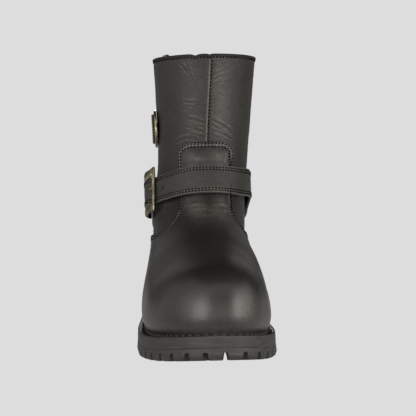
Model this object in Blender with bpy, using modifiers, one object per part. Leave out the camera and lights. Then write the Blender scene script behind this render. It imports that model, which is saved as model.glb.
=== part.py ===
# Right-foot motorcycle boot: a pull-on engineer boot with a strap and buckle over the instep,
# a plain round toe, a welted lug sole and a separate heel.
# Frame: origin under the heel's centre on the floor, +Z up, toe towards -Y, inner (medial) side at +X.
# All sizes below are in millimetres; meshes are written in metres.

import math

import bmesh
import bpy
import numpy as np

MM = 0.001
GAP = 0.3  # clearance between pieces that meet

# Upper
COLLAR_HEIGHT = 244.6
WALL = 2.2
TOE_TIP = -267.0  # foremost point of the upper
TOE_ROUND = 82.0  # depth of the toe's rounding, from above
TOE_DROP = 52.0  # depth of its rounding, from the side
TOE_POWER = 2.35  # 2 is an ellipse, more is squarer
CREST_POWER = 2.9  # the same for the toe's side view
TUCK = 5.0  # how far the upper draws in at the feather line
TUCK_HEIGHT = 13.0
SHAFT_AXIS_Y = -32.0
LAST_PIVOT = (-60.0, 62.0)  # inside the foot, seen from the side
UPPER_RINGS = 24
UPPER_COLUMNS = 44

# Overlays on the upper
OVERLAY = 1.4
TAB_HALF_WIDTH = 23.8
TAB_TOP = 169.0
TAB_CORNER = 12.0
BINDING = 1.0
BINDING_HEIGHT = 3.0
SEAM_HALF_WIDTH = 2.2
SEAM_RAISE = 0.9
SEAM_ANGLE = 2.8  # on the shaft's front ridge, a little to the inner side

# Sole
SOLE_EDGE = 9.8  # welt beyond the feather line
WELT = 3.6
WELT_LEDGE = 8.0  # welt inside the feather line
MIDSOLE = 4.8
INSOLE = 3.2
SOLE_FLARE = 0.9  # how much wider the tread is than the welt
SOLE_STATIONS = 34
LUG_DEPTH = 6.0
LUG_PITCH = 14.5
NOTCH = 4.6
NOTCH_REACH = 17.0
LUG_GROOVE = 4.5
LUG_FRONT_OF = -104.0  # lugs end here, at the waist
HEEL_BREAST = -30.0
HEEL_TAPER = 2.0
HEEL_NOTCH_REACH = 11.0

# Strap and buckle
STRAP_WIDTH = 24.0
STRAP_WIDER = (1.8, 36.0)  # over the instep: how much, and how far along
STRAP = 2.6
BILLET = 1.8
NOSE_AT = -52.0  # buckle's nose bar, along the strap from the front
BUCKLE_WINDOW = 25.0  # between the two bars
BAR = 2.6
FRAME_SIDE = 4.6
FRAME_FLARE = 4.0
FRAME_SKEW = 0.2  # of the buckle against the strap, as the strap pulls it
WINDOW_CLEARANCE = 0.9
PRONG = 1.4

# Concho and pull loop
CONCHO_RADIUS = 17.0
CONCHO_HEIGHT = 182.4
CONCHO_ANGLE = -97.0
PULL_ANGLE = -66.0
PULL_WIDTH = 13.0
PULL_RISE = 3.2
PULL_LENGTH = 36.0
PULL = 2.4


def table(names, *rows):
    """Columns of a short table by name."""
    return {name: np.array(column, float) for name, column in zip(names.split(), zip(*rows))}


# Front line of the upper in side view, from the toe's top to the collar. The toe itself is rounded off it.
# aside is how far this ridge lies to the inner side of the middle.
RIDGE = table(
    "y z round_depth aside",
    (-300, 75, 45, 14),
    (-262, 76.5, 46, 14),
    (-232, 78, 51, 13),
    (-205, 81, 57, 11.5),
    (-180, 87, 62, 9.5),
    (-150, 99, 65, 7.8),
    (-124, 115, 64, 6.8),
    (-104, 135, 61, 5),
    (-91, 160, 60, 3.2),
    (-83, 192, 60, 2.4),
    (-80, 222, 60, 2.3),
    (-81, 270, 60, 2.3),
)

# Back line of the upper, and how deep its rounding is.
BACK = table(
    "z y round_depth",
    (20, 32, 36),
    (38, 34.5, 36),
    (50, 38.5, 36),
    (66, 40, 38),
    (92, 36.5, 42),
    (120, 33, 52),
    (155, 33, 58),
    (200, 37, 60),
    (270, 42, 60),
)

# Half widths of the foot, along its length, before the ends are rounded off.
FOOT = table(
    "y medial lateral",
    (-270, 47, 37),
    (-215, 50.5, 43),
    (-180, 51.5, 46.8),
    (-150, 50.5, 48.5),
    (-115, 46.5, 47),
    (-80, 40, 45),
    (-40, 35.5, 40.5),
    (0, 36, 37.5),
    (45, 36, 36.5),
)

# Half widths of the shaft by height, and how far its middle leans to the inner side.
SHAFT = table(
    "z lean medial lateral",
    (20, 0, 36, 37),
    (60, 0, 36.5, 38),
    (100, 0.2, 40.0, 41.5),
    (128, 2.2, 39.5, 41),
    (152, 4.2, 40.2, 40.4),
    (200, 6.3, 43.2, 43.4),
    (246, 7.7, 46.2, 46.4),
    (270, 8.4, 48, 48),
)

# Height of the feather line (top of the welt) and of the tread along the length.
SOLE = table(
    "y feather tread",
    (-282, 28.8, 10.6),
    (-268, 26.4, 8.2),
    (-250, 23.7, 5.5),
    (-228, 21.2, 3.0),
    (-205, 19.5, 1.2),
    (-184, 19.0, 0),
    (-158, 19.0, 0),
    (-132, 20.0, 0),
    (-114, 21.8, 2.4),
    (-88, 25.0, 8.2),
    (-60, 28.8, 14.2),
    (-28, 32.8, 18.4),
    (5, 36.0, 21.6),
    (50, 38.6, 24.2),
)

# Edge of the vamp overlay below its instep tab: its half width by height, as it flares to the sides.
VAMP_FLARE = table(
    "z half_width",
    (138, 22.4),
    (124, 21.8),
    (113, 22.2),
    (107, 23.6),
    (102, 26.2),
    (97, 30.0),
    (92.5, 35.6),
)

# The same edge in side view, from the flare back and down to the sole.
VAMP_SIDE = table(
    "y z",
    (-100, 90.6),
    (-80, 89.6),
    (-60, 85),
    (-46, 74),
    (-38.5, 55),
    (-35, 35),
)

# Path of the strap round the ankle. Angles are seen from above: 0 is the front, plus is the inner side.
STRAP_PATH = table(
    "angle middle lean",
    (-165, 94, 0),
    (-130, 101.5, 0),
    (-100, 114, 0),
    (-75, 121.8, 0.02),
    (-58, 124.6, 0.10),
    (-44, 126.6, 0.12),
    (-20, 131, 0.13),
    (0, 134, 0.15),
    (40, 133.2, 0.06),
    (70, 130, -0.10),
    (95, 121, -0.05),
    (120, 112, -0.03),
    (165, 103, 0),
)

# How far the strap's inner face stands off the upper, by the distance along it from the front.
STRAP_GAP = table(
    "along gap",
    (NOSE_AT - 72, 2.6),
    (NOSE_AT - 50, 2.8),
    (NOSE_AT - 40, 5.6),
    (NOSE_AT - 30, 6.6),
    (NOSE_AT - 20, 6.6),
    (NOSE_AT - 14, 6.2),
    (NOSE_AT - 10, 4.6),
    (NOSE_AT - 5, 2.7),
    (NOSE_AT, 2.5),
    (NOSE_AT + 22, 3.0),
    (-20, 4.0),
    (0, 4.4),
    (22, 3.8),
    (40, 3.1),
    (66, 2.8),
    (84, 1.9),
    (104, 0.9),
    (130, 0.5),
)
STRAP_TAIL = NOSE_AT - 66
STRAP_END = 126.0
BILLET_END = NOSE_AT - 96


def follow(columns, along, column, at):
    """Smooth value of a table's column at a place along another one, without overshoot."""
    x, f = columns[along], columns[column]
    if x[0] > x[-1]:
        x, f = x[::-1], f[::-1]
    step = np.diff(x)
    rise = np.diff(f) / step
    slope = np.concatenate(([rise[0]], np.zeros(len(x) - 2), [rise[-1]]))
    same_way = rise[:-1] * rise[1:] > 0
    slope[1:-1][same_way] = 2 / (1 / rise[:-1][same_way] + 1 / rise[1:][same_way])
    at = np.clip(at, x[0], x[-1])
    i = np.clip(np.searchsorted(x, at) - 1, 0, len(x) - 2)
    h = step[i]
    t = (at - x[i]) / h
    return (
        f[i] * (1 + 2 * t) * (1 - t) ** 2
        + slope[i] * h * t * (1 - t) ** 2
        + f[i + 1] * t**2 * (3 - 2 * t)
        + slope[i + 1] * h * t**2 * (t - 1)
    )


def smooth(x):
    """Eased step from 0 to 1."""
    x = np.clip(x, 0, 1)
    return x * x * (3 - 2 * x)


def curve_through(columns, count):
    """Points of a smooth open curve through a table's first two columns, with any further columns."""
    names = list(columns)
    spans = np.hypot(np.diff(columns[names[0]]), np.diff(columns[names[1]]))
    columns = dict(columns, run=np.concatenate(([0], np.cumsum(spans))))
    run = np.linspace(0, columns["run"][-1], count)
    return [follow(columns, "run", name, run) for name in names]


# The last: side outline and half widths

RIDGE_LINE = curve_through(RIDGE, 220)


def ridge_gap(y, z):
    """Distance inside the front line, minus outside it, the rounding depth there, and how far aside the line lies."""
    line_y, line_z, depth, aside = RIDGE_LINE
    edge_y, edge_z = np.diff(line_y), np.diff(line_z)
    from_y = np.asarray(y)[..., None] - line_y[:-1]
    from_z = np.asarray(z)[..., None] - line_z[:-1]
    share = np.clip((from_y * edge_y + from_z * edge_z) / (edge_y**2 + edge_z**2), 0, 1)
    off_y, off_z = from_y - share * edge_y, from_z - share * edge_z
    away = np.hypot(off_y, off_z)
    near = np.argmin(away, axis=-1)
    pick = lambda values: np.take_along_axis(values, near[..., None], -1)[..., 0]
    side = np.sign(pick(off_y) * edge_z[near] - pick(off_z) * edge_y[near])
    between = lambda values: values[near] + pick(share) * (values[near + 1] - values[near])
    return pick(away) * side, between(depth), between(aside)


def tuck(y, z):
    """How far the wall draws in just above the feather line."""
    height = z - follow(SOLE, "y", "feather", y)
    return TUCK * np.clip(1 - height / TUCK_HEIGHT, 0, 1) ** 2


def swell(y, z):
    """Share of the full half width at a place in side view: below 0 outside the outline."""
    gap, depth, _ = ridge_gap(y, z)
    over = np.clip(1 - gap / depth, 0, 3)
    toe = np.clip(1 - (y - TOE_TIP - tuck(y, z)) / TOE_ROUND, 0, 3)
    behind = follow(BACK, "z", "y", z) - y
    heel = np.clip(1 - behind / follow(BACK, "z", "round_depth", z), 0, 3)
    nose = np.clip(1 - (y - TOE_TIP - tuck(y, z)) / TOE_DROP, 0, 1)
    tall = np.maximum(1 - nose**CREST_POWER, 1e-9) ** (1 / CREST_POWER)
    power = 2 + (TOE_POWER - 2) * smooth((-120 - y) / 60)
    under, before = 1 - (over / tall) ** power, 1 - toe**power
    left = np.where((under > 0) & (before > 0), under * before, np.minimum(under, before)) - heel**power
    return np.sign(left) * np.abs(left) ** (1 / power)


def half_width(y, z, side):
    """Half width of the upper, to the medial (side 1) or lateral (side -1) hand."""
    names = np.where(np.asarray(side) > 0, 1, 0)
    foot = np.where(names, follow(FOOT, "y", "medial", y), follow(FOOT, "y", "lateral", y))
    shaft = np.where(names, follow(SHAFT, "z", "medial", z), follow(SHAFT, "z", "lateral", z))
    height = z - follow(SOLE, "y", "feather", y)
    to_shaft = smooth((height - 12) / 70) * smooth((y + 150) / 90)
    return foot + (shaft - foot) * to_shaft - tuck(y, z)


def lean(z):
    return follow(SHAFT, "z", "lean", z)


def edges_at(y, z):
    """Lateral and medial edges of the upper at a place in side view, which meet on its outline."""
    share = np.clip(swell(y, z), 0, 1)
    middle = lean(z) + ridge_gap(y, z)[2] * (1 - share)
    return middle - half_width(y, z, -1) * share, middle + half_width(y, z, 1) * share


def first_outside(start, way, reach):
    """Distance along each ray, from inside the outline, at which it leaves the outline."""
    low = np.zeros(len(way[0]))
    high = np.full(len(way[0]), float(reach))
    for _ in range(44):
        middle = (low + high) / 2
        inside = swell(start[0] + way[0] * middle, start[1] + way[1] * middle) > 0
        low, high = np.where(inside, middle, low), np.where(inside, high, middle)
    return low


def front_line():
    """Outline of the upper's front in side view, from the toe's feather line up to the collar."""
    toe = (TOE_TIP + TUCK, float(follow(SOLE, "y", "feather", TOE_TIP + TUCK)))
    collar = (float(np.interp(COLLAR_HEIGHT, RIDGE_LINE[1], RIDGE_LINE[0])), COLLAR_HEIGHT)
    ends = [math.atan2(p[1] - LAST_PIVOT[1], LAST_PIVOT[0] - p[0]) for p in (toe, collar)]
    angles = np.linspace(ends[0], ends[1], 2600)
    way = (-np.cos(angles), np.sin(angles))
    reach = first_outside(LAST_PIVOT, way, 260)
    y, z = LAST_PIVOT[0] + way[0] * reach, LAST_PIVOT[1] + way[1] * reach
    run = np.concatenate(([0], np.cumsum(np.hypot(np.diff(y), np.diff(z)))))
    return run / run[-1], y, z


FRONT_LINE = front_line()
HEEL_FEATHER = float(follow(SOLE, "y", "feather", 34.5))


def side_view(around, up):
    """Place (y, z) in side view: around runs from 0 at the front to 1 at the back, up from feather to collar."""
    front_y, front_z = (np.interp(up, FRONT_LINE[0], values) for values in FRONT_LINE[1:])
    back_z = HEEL_FEATHER + (COLLAR_HEIGHT - HEEL_FEATHER) * up
    back_y = follow(BACK, "z", "y", back_z)
    share = (1 - np.cos(np.pi * around)) / 2
    y = front_y + (back_y - front_y) * share
    front_feather = follow(SOLE, "y", "feather", front_y)
    straight = front_feather + (HEEL_FEATHER - front_feather) * share
    rocker = follow(SOLE, "y", "feather", y) - straight
    return y, front_z + (back_z - front_z) * share + (1 - up) ** 3 * rocker


def upper_point(around, up):
    """Point of the upper's outer face: around runs from -1 (back) by the lateral side, 0 (front) and the medial side to 1."""
    y, z = side_view(np.abs(around), up)
    lateral, medial = edges_at(y, z)
    return np.stack((np.where(np.asarray(around) >= 0, medial, lateral), y, z), -1)


def upper_grid(columns, rings):
    """Grid of the upper's outer face and its outward normals, ring by ring from the feather line."""
    around = np.linspace(-1, 1, columns, endpoint=False)
    points = upper_point(*np.meshgrid(around, np.linspace(0, 1, rings + 1)))
    along = np.roll(points, -1, 1) - np.roll(points, 1, 1)
    normals = np.cross(along, np.gradient(points, axis=0))
    return points, normals / np.linalg.norm(normals, axis=-1, keepdims=True)


def shaft_point(angle, z, out=0.0):
    """Point on the upper at a height, seen from above at an angle from the front, and so far out from it."""
    angle, z = np.broadcast_arrays(np.radians(angle), np.asarray(z, float))
    way_x, way_y = np.sin(angle), -np.cos(angle)
    low, high = np.zeros(angle.shape), np.full(angle.shape, 200.0)
    for _ in range(44):
        middle = (low + high) / 2
        x, y = lean(z) + way_x * middle, SHAFT_AXIS_Y + way_y * middle
        lateral, medial = edges_at(y, z)
        inside = (swell(y, z) > 0) & (lateral < x) & (x < medial)
        low, high = np.where(inside, middle, low), np.where(inside, high, middle)
    reach = low + out
    return np.stack((lean(z) + way_x * reach, SHAFT_AXIS_Y + way_y * reach, z), -1)


# Strap coordinates: along the strap from the front, across it, and out from the upper


def strap_run():
    """Distance along the strap's path, points of its middle line on the upper, and its across and outward directions."""
    angle = np.linspace(-165, 165, 166)
    middle = follow(STRAP_PATH, "angle", "middle", angle)
    tilt = follow(STRAP_PATH, "angle", "lean", angle)
    half = STRAP_WIDTH / 2
    top, bottom = shaft_point(angle, middle + half), shaft_point(angle, middle - half)
    points = (top + bottom) / 2
    forward = np.gradient(points, axis=0)
    forward /= np.linalg.norm(forward, axis=1, keepdims=True)
    across = top - bottom
    across -= forward * np.sum(across * forward, 1, keepdims=True)
    across /= np.linalg.norm(across, axis=1, keepdims=True)
    outward = np.cross(forward, across)
    bulge = np.sum((shaft_point(angle, middle) - points) * outward, 1, keepdims=True)
    points = points + outward * np.maximum(bulge, 0)
    across = across + tilt[:, None] * outward
    steps = np.linalg.norm(np.diff(points, axis=0), axis=1)
    along = np.concatenate(([0], np.cumsum(steps)))
    return along - np.interp(0, angle, along), points, across, outward


STRAP_RUN = strap_run()


def strap_place(along, across, out):
    """Point in space of a place given in the strap's own coordinates."""
    along, across, out = np.broadcast_arrays(along, across, out)
    spread = lambda values: np.stack([np.interp(along, STRAP_RUN[0], values[:, i]) for i in range(3)], -1)
    base, sideways, away = (spread(values) for values in STRAP_RUN[1:])
    away /= np.linalg.norm(away, axis=-1, keepdims=True)
    return base + sideways * across[..., None] + away * out[..., None]


# Scene and mesh helpers


def clear_scene():
    for item in list(bpy.data.objects):
        bpy.data.objects.remove(item)
    collections = {}
    for name in ("motorcycle_boot", "cutters"):
        collections[name] = bpy.data.collections.new(name)
        bpy.context.scene.collection.children.link(collections[name])
    return collections


COLLECTIONS = clear_scene()


def finish_material(name, colour, roughness, metallic=0.0):
    material = bpy.data.materials.new(name)
    material.use_nodes = True
    shader = material.node_tree.nodes["Principled BSDF"]
    shader.inputs["Base Color"].default_value = (*colour, 1)
    shader.inputs["Roughness"].default_value = roughness
    shader.inputs["Metallic"].default_value = metallic
    return material


LEATHER = finish_material("black_leather", (0.030, 0.030, 0.028), 0.42)
EDGE_LEATHER = finish_material("binding_leather", (0.014, 0.015, 0.016), 0.5)
RUBBER = finish_material("black_rubber", (0.040, 0.040, 0.039), 0.75)
LINING = finish_material("insole_board", (0.06, 0.05, 0.04), 0.8)
BRASS = finish_material("antique_brass", (0.36, 0.30, 0.17), 0.35, 1.0)
TAPE = finish_material("pull_tape", (0.02, 0.02, 0.02), 0.8)


def add_object(name, mesh, material=None):
    """A part, or a cutter if it has no material."""
    item = bpy.data.objects.new(name, mesh)
    COLLECTIONS["motorcycle_boot" if material else "cutters"].objects.link(item)
    if material:
        mesh.materials.append(material)
        mesh.shade_smooth()
        mesh.set_sharp_from_angle(angle=math.radians(35))
    else:
        item.hide_render = True
        item.display_type = "WIRE"
    return item


def mesh_from(name, vertices, faces):
    mesh = bpy.data.meshes.new(name)
    mesh.from_pydata((np.asarray(vertices, float) * MM).tolist(), [], faces)
    shape = bmesh.new()
    shape.from_mesh(mesh)
    bmesh.ops.remove_doubles(shape, verts=shape.verts, dist=1e-7)
    bmesh.ops.dissolve_degenerate(shape, edges=shape.edges, dist=1e-7)
    bmesh.ops.recalc_face_normals(shape, faces=shape.faces)
    shape.to_mesh(mesh)
    shape.free()
    return mesh


def grid_faces(rows, columns, wrap_rows=False, wrap_columns=False):
    """Quads of a grid of points stored row by row."""
    faces = []
    for i in range(rows if wrap_rows else rows - 1):
        for j in range(columns if wrap_columns else columns - 1):
            next_i, next_j = (i + 1) % rows, (j + 1) % columns
            corners = ((i, j), (i, next_j), (next_i, next_j), (next_i, j))
            faces.append([row * columns + column for row, column in corners])
    return faces


def mirrored_triangles(rows, columns):
    """Triangles of a ring grid, split the same way on both sides, so that every shell of it has parallel facets."""
    faces = []
    for index, (a, b, c, d) in enumerate(grid_faces(rows, columns, False, True)):
        lateral = index % columns < columns // 2
        faces += [(a, b, c), (a, c, d)] if lateral else [(a, b, d), (b, c, d)]
    return faces


def tube_mesh(name, sections, closed=False):
    """Closed mesh through sections of equally many points each: a ring, or a bar with flat ends."""
    sections = np.asarray(sections, float)
    rows, columns = sections.shape[:2]
    faces = grid_faces(rows, columns, closed, True)
    if not closed:
        faces += [list(range(columns)), list(range((rows - 1) * columns, rows * columns))]
    return mesh_from(name, sections.reshape(-1, 3), faces)


def cut(item, cutter, operation="DIFFERENCE"):
    modifier = item.modifiers.new(cutter.name, "BOOLEAN")
    modifier.operation = operation
    modifier.solver = "EXACT"
    modifier.object = cutter


def shell(name, columns, rings, stand_off, thickness, material):
    """Open surface of the upper's form, thickened inwards (minus) or outwards."""
    points, normals = upper_grid(columns, rings)
    points = points + normals * stand_off
    mesh = mesh_from(name, points.reshape(-1, 3), mirrored_triangles(rings + 1, columns))
    facing = sum(face.normal.dot(face.center) for face in mesh.polygons)
    if facing < 0:
        mesh.flip_normals()
    item = add_object(name, mesh, material)
    solidify = item.modifiers.new("wall", "SOLIDIFY")
    solidify.thickness = abs(thickness) * MM
    solidify.offset = math.copysign(1, thickness)
    solidify.use_even_offset = True
    return item


# Upper and its overlays


def make_upper():
    return shell("upper", UPPER_COLUMNS, UPPER_RINGS, 0, -WALL, LEATHER)


def behind_front(half, z):
    """Place behind the front line, in side view, where the upper is twice this half width across."""
    low = float(np.interp(z, RIDGE_LINE[1], RIDGE_LINE[0]))
    high = SHAFT_AXIS_Y
    for _ in range(44):
        middle = (low + high) / 2
        lateral, medial = edges_at(np.array(middle), np.array(z))
        narrow = float(medial - lateral) < 2 * half
        low, high = (middle, high) if narrow else (low, middle)
    return low


def vamp_outline():
    """The vamp in side view: its instep tab, then its edge down to the sole, closed in front of the toe."""
    points = [(-320.0, TAB_TOP), (float(np.interp(TAB_TOP, RIDGE_LINE[1], RIDGE_LINE[0])), TAB_TOP)]
    for turn in np.linspace(0.25, 1, 5) * math.pi / 2:
        z = TAB_TOP - TAB_CORNER * (1 - math.cos(turn))
        half = TAB_HALF_WIDTH - TAB_CORNER * (1 - math.sin(turn))
        points.append((behind_front(half, z), z))
    flare_z, flare_half = curve_through(VAMP_FLARE, 10)
    points += [(behind_front(half, z), z) for z, half in zip(flare_z, flare_half)]
    edge_y, edge_z = curve_through(VAMP_SIDE, 12)
    points += list(zip(edge_y, edge_z))
    along_sole = np.linspace(edge_y[-1], TOE_TIP - 20, 24)
    return points + [(y, float(follow(SOLE, "y", "feather", y)) + GAP) for y in along_sole]


def make_vamp():
    """Front overlay of the upper, cut from two larger forms of it by the vamp's side outline."""
    item = shell("vamp", UPPER_COLUMNS, UPPER_RINGS, GAP, OVERLAY, LEATHER)
    outline = vamp_outline()
    sections = [[(x, y, z) for y, z in outline] for x in (-90.0, 90.0)]
    cut(item, add_object("vamp_outline", tube_mesh("vamp_outline", sections)), "INTERSECT")
    return item


def make_collar_binding():
    """U-shaped trim over the collar's edge, on the upper's own columns."""
    points, normals = upper_grid(UPPER_COLUMNS, UPPER_RINGS)
    rim, below = points[-1], points[-2]
    outward = normals[-1] * (1, 1, 0)
    outward /= np.linalg.norm(outward, axis=1, keepdims=True)
    per_height = (below - rim) / (rim - below)[:, 2:]
    outer, inner = GAP, -WALL - GAP - 0.2
    profile = [
        (outer, -BINDING_HEIGHT),
        (outer + BINDING, -BINDING_HEIGHT),
        (outer + BINDING, GAP + BINDING * 0.4),
        (outer, GAP + BINDING),
        (inner, GAP + BINDING),
        (inner - BINDING, GAP + BINDING * 0.4),
        (inner - BINDING, -BINDING_HEIGHT),
        (inner, -BINDING_HEIGHT),
        (inner, GAP),
        (outer, GAP),
    ]
    sections = [rim + outward * out + per_height * max(-rise, 0) + (0, 0, max(rise, 0)) for out, rise in profile]
    sections = np.swapaxes(sections, 0, 1)
    return add_object("collar_binding", tube_mesh("collar_binding", sections, True), EDGE_LEATHER)


def make_front_seam():
    """Raised seam up the front of the shaft, from the tab to the binding."""
    heights = np.linspace(TAB_TOP + 2.2, COLLAR_HEIGHT - BINDING_HEIGHT - 0.6, 9)
    sections = []
    for z in heights:
        front = shaft_point(SEAM_ANGLE, z)
        half = SEAM_HALF_WIDTH
        sections.append([
            front + (-half, -GAP - 0.15, 0),
            front + (half, -GAP - 0.15, 0),
            front + (half * 0.6, -GAP - SEAM_RAISE, 0),
            front + (-half * 0.8, -GAP - SEAM_RAISE, 0),
        ])
    return add_object("front_seam", tube_mesh("front_seam", sections), LEATHER)


def make_pull_loop():
    """Folded tape sewn inside the collar, its fold just above the edge."""
    inside = -WALL - 4 * GAP - BINDING
    heights = [COLLAR_HEIGHT - PULL_LENGTH, COLLAR_HEIGHT - BINDING_HEIGHT - 6, COLLAR_HEIGHT, COLLAR_HEIGHT + PULL_RISE]
    sections = []
    half_angle = math.degrees(PULL_WIDTH / 2 / 55)
    for height in heights:
        level = min(height, COLLAR_HEIGHT)
        corners = [(PULL_ANGLE + side * half_angle, inside - depth)
                   for side, depth in ((-1, 0), (0, 0), (1, 0), (1, PULL), (0, PULL), (-1, PULL))]
        sections.append([shaft_point(angle, level, out) + (0, 0, height - level) for angle, out in corners])
    return add_object("pull_loop", tube_mesh("pull_loop", sections), TAPE)


# Sole


def sole_loop(grow):
    """Plan outline at a distance outside the feather line: stations from heel to toe with both edges."""
    around = np.linspace(-1, 1, 2 * SOLE_STATIONS, endpoint=False)
    ring = upper_point(around, np.zeros(len(around)))[:, :2]
    tangent = np.roll(ring, -1, 0) - np.roll(ring, 1, 0)
    tangent /= np.linalg.norm(tangent, axis=1, keepdims=True)
    outward = np.stack((tangent[:, 1], -tangent[:, 0]), 1)
    outward *= np.sign(np.sum(outward[0] * (0, 1)))
    ring = ring + outward * grow
    lateral = ring[: SOLE_STATIONS + 1]
    medial = np.concatenate((ring[:1], ring[SOLE_STATIONS:][::-1]))
    return lateral, medial


def edge_at(y, grow, side):
    """Edge of the sole's outline at a place along it."""
    edge = sole_loop(grow)[side > 0]
    return np.interp(y, edge[::-1, 1], edge[::-1, 0])


def slab_mesh(name, top, bottom, top_height, bottom_height):
    """Plate between two plan outlines, each a pair of edges from heel to toe, with their heights along y."""
    vertices, faces = [], []
    count = len(top[0])
    for outline, height in ((top, top_height), (bottom, bottom_height)):
        for edge in outline:
            vertices += [(x, y, height(y)) for x, y in edge]
    row = lambda level, side, j: (level * 2 + side) * count + j
    for j in range(count - 1):
        for level in (0, 1):
            faces.append([row(level, 0, j), row(level, 1, j), row(level, 1, j + 1), row(level, 0, j + 1)])
        for side in (0, 1):
            faces.append([row(0, side, j), row(0, side, j + 1), row(1, side, j + 1), row(1, side, j)])
    for j in (0, count - 1):
        faces.append([row(0, 0, j), row(0, 1, j), row(1, 1, j), row(1, 0, j)])
    return mesh_from(name, vertices, faces)


def band_mesh(name, outer, inner, top_height, bottom_height):
    """Ring between two plan outlines."""
    sections = []
    around = lambda loop: np.concatenate((loop[0][:-1], loop[1][:0:-1]))
    for (ox, oy), (ix, iy) in zip(around(outer), around(inner)):
        sections.append([(ox, oy, top_height(oy)), (ox, oy, bottom_height(oy)),
                         (ix, iy, bottom_height(iy)), (ix, iy, top_height(iy))])
    return tube_mesh(name, sections, True)


def feather(y):
    return follow(SOLE, "y", "feather", y)


def tread(y):
    return follow(SOLE, "y", "tread", y)


def welt_top(y):
    return feather(y) - GAP


def midsole_top(y):
    return welt_top(y) - WELT - GAP


def outsole_top(y):
    return midsole_top(y) - MIDSOLE - GAP


def make_insole():
    outline = sole_loop(-WALL - 1.0)
    mesh = slab_mesh("insole", outline, outline, lambda y: feather(y) + INSOLE, feather)
    return add_object("insole", mesh, LINING)


def make_welt():
    mesh = band_mesh("welt", sole_loop(SOLE_EDGE), sole_loop(-WELT_LEDGE), welt_top, lambda y: welt_top(y) - WELT)
    return add_object("welt", mesh, RUBBER)


def make_midsole():
    outline = sole_loop(SOLE_EDGE + 0.3)
    return add_object(
        "midsole", slab_mesh("midsole", outline, outline, midsole_top, lambda y: midsole_top(y) - MIDSOLE), RUBBER
    )


def slot_mesh(name, slots):
    """Boxes, each from a place on the floor plan inwards: x, y, direction, length, width, low and high."""
    shape = bmesh.new()
    for x, y, way, length, width, low, high in slots:
        corners = bmesh.ops.create_cube(shape, size=1)["verts"]
        for vertex in corners:
            along, aside = vertex.co.x * length + length / 2, vertex.co.y * width
            vertex.co = (
                (x + way[0] * along - way[1] * aside) * MM,
                (y + way[1] * along + way[0] * aside) * MM,
                (low + (vertex.co.z + 0.5) * (high - low)) * MM,
            )
    mesh = bpy.data.meshes.new(name)
    shape.to_mesh(mesh)
    shape.free()
    return mesh


def notches(edge, first, pitch, reach, stop):
    """Notches at even steps along an edge of the sole, from its toe or heel end, square to it."""
    run = np.concatenate(([0], np.cumsum(np.linalg.norm(np.diff(edge, axis=0), axis=1))))
    slots = []
    for at in np.arange(first, run[-1], pitch):
        x, y = (np.interp(at, run, edge[:, i]) for i in (0, 1))
        if stop(y):
            break
        before, after = ([np.interp(at + step, run, edge[:, i]) for i in (0, 1)] for step in (-3, 3))
        tangent = np.subtract(after, before) / np.linalg.norm(np.subtract(after, before))
        inward = np.array((-tangent[1], tangent[0]))
        inward *= -np.sign(inward[0] * (x - 2.5) + 1e-9 + inward[1] * (y + 150 if y < -100 else y))
        low = float(tread(y)) if y < HEEL_BREAST else 0.0
        slots.append((x - inward[0] * 4, y - inward[1] * 4, inward, reach + 4, NOTCH, low - 4, low + LUG_DEPTH))
    return slots


def lug_bottom(y):
    return tread(y) - 5


def groove_top(y):
    """Depth of the groove inside the edge lugs, none behind the forefoot."""
    return tread(y) - 3 + (LUG_DEPTH + 2) * smooth((LUG_FRONT_OF - 2 - y) / 6)


def make_outsole():
    edge = sole_loop(SOLE_EDGE + SOLE_FLARE)
    mesh = slab_mesh("outsole", sole_loop(SOLE_EDGE), edge, outsole_top, tread)
    item = add_object("outsole", mesh, RUBBER)
    lateral, medial = edge[0][::-1], edge[1][::-1]
    stop = lambda y: y > LUG_FRONT_OF
    slots = notches(lateral, 0, LUG_PITCH, NOTCH_REACH, stop)
    slots += notches(medial, LUG_PITCH, LUG_PITCH, NOTCH_REACH, stop)
    cut(item, add_object("edge_notches", slot_mesh("edge_notches", slots)))
    inner = NOTCH_REACH - SOLE_EDGE - SOLE_FLARE
    groove = band_mesh("lug_groove", sole_loop(-inner), sole_loop(-inner - LUG_GROOVE), groove_top, lug_bottom)
    cut(item, add_object("lug_groove", groove))
    middle = inner + LUG_GROOVE - 1
    bars = []
    for y in np.arange(-228, LUG_FRONT_OF, 22.0):
        left, right = edge_at(y, -middle, -1), edge_at(y, -middle, 1)
        low = float(tread(y))
        bars.append((left, y, (1, 0), right - left, LUG_GROOVE, low - 4, low + LUG_DEPTH - 1))
    cut(item, add_object("centre_bars", slot_mesh("centre_bars", bars)))
    return item


def heel_loop(grow):
    """Heel's plan outline: the sole's edges from the back to the breast."""
    edges = []
    for side, edge in zip((-1, 1), sole_loop(grow)):
        kept = edge[edge[:, 1] > HEEL_BREAST + 2]
        breast = (edge_at(HEEL_BREAST, grow, side), HEEL_BREAST)
        edges.append(np.vstack((kept, breast)))
    count = min(len(edge) for edge in edges)
    return [np.vstack((edge[: count - 1], edge[-1:])) for edge in edges]


def make_heel():
    top, bottom = heel_loop(SOLE_EDGE - 0.4), heel_loop(SOLE_EDGE - HEEL_TAPER)
    mesh = slab_mesh("heel", top, bottom, lambda y: tread(y) - GAP, lambda y: 0.0 * y)
    item = add_object("heel", mesh, RUBBER)
    slots = notches(bottom[0], 0, LUG_PITCH, HEEL_NOTCH_REACH, lambda y: y < HEEL_BREAST + 8)
    slots += notches(bottom[1], LUG_PITCH, LUG_PITCH, HEEL_NOTCH_REACH, lambda y: y < HEEL_BREAST + 8)
    cut(item, add_object("heel_notches", slot_mesh("heel_notches", slots)))
    return item


# Strap, buckle and concho


def strap_gap(along):
    return follow(STRAP_GAP, "along", "gap", along)


def strap_half(along):
    more, reach = STRAP_WIDER
    return STRAP_WIDTH / 2 + more / 2 * (1 - smooth(abs(along) / reach))


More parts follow.
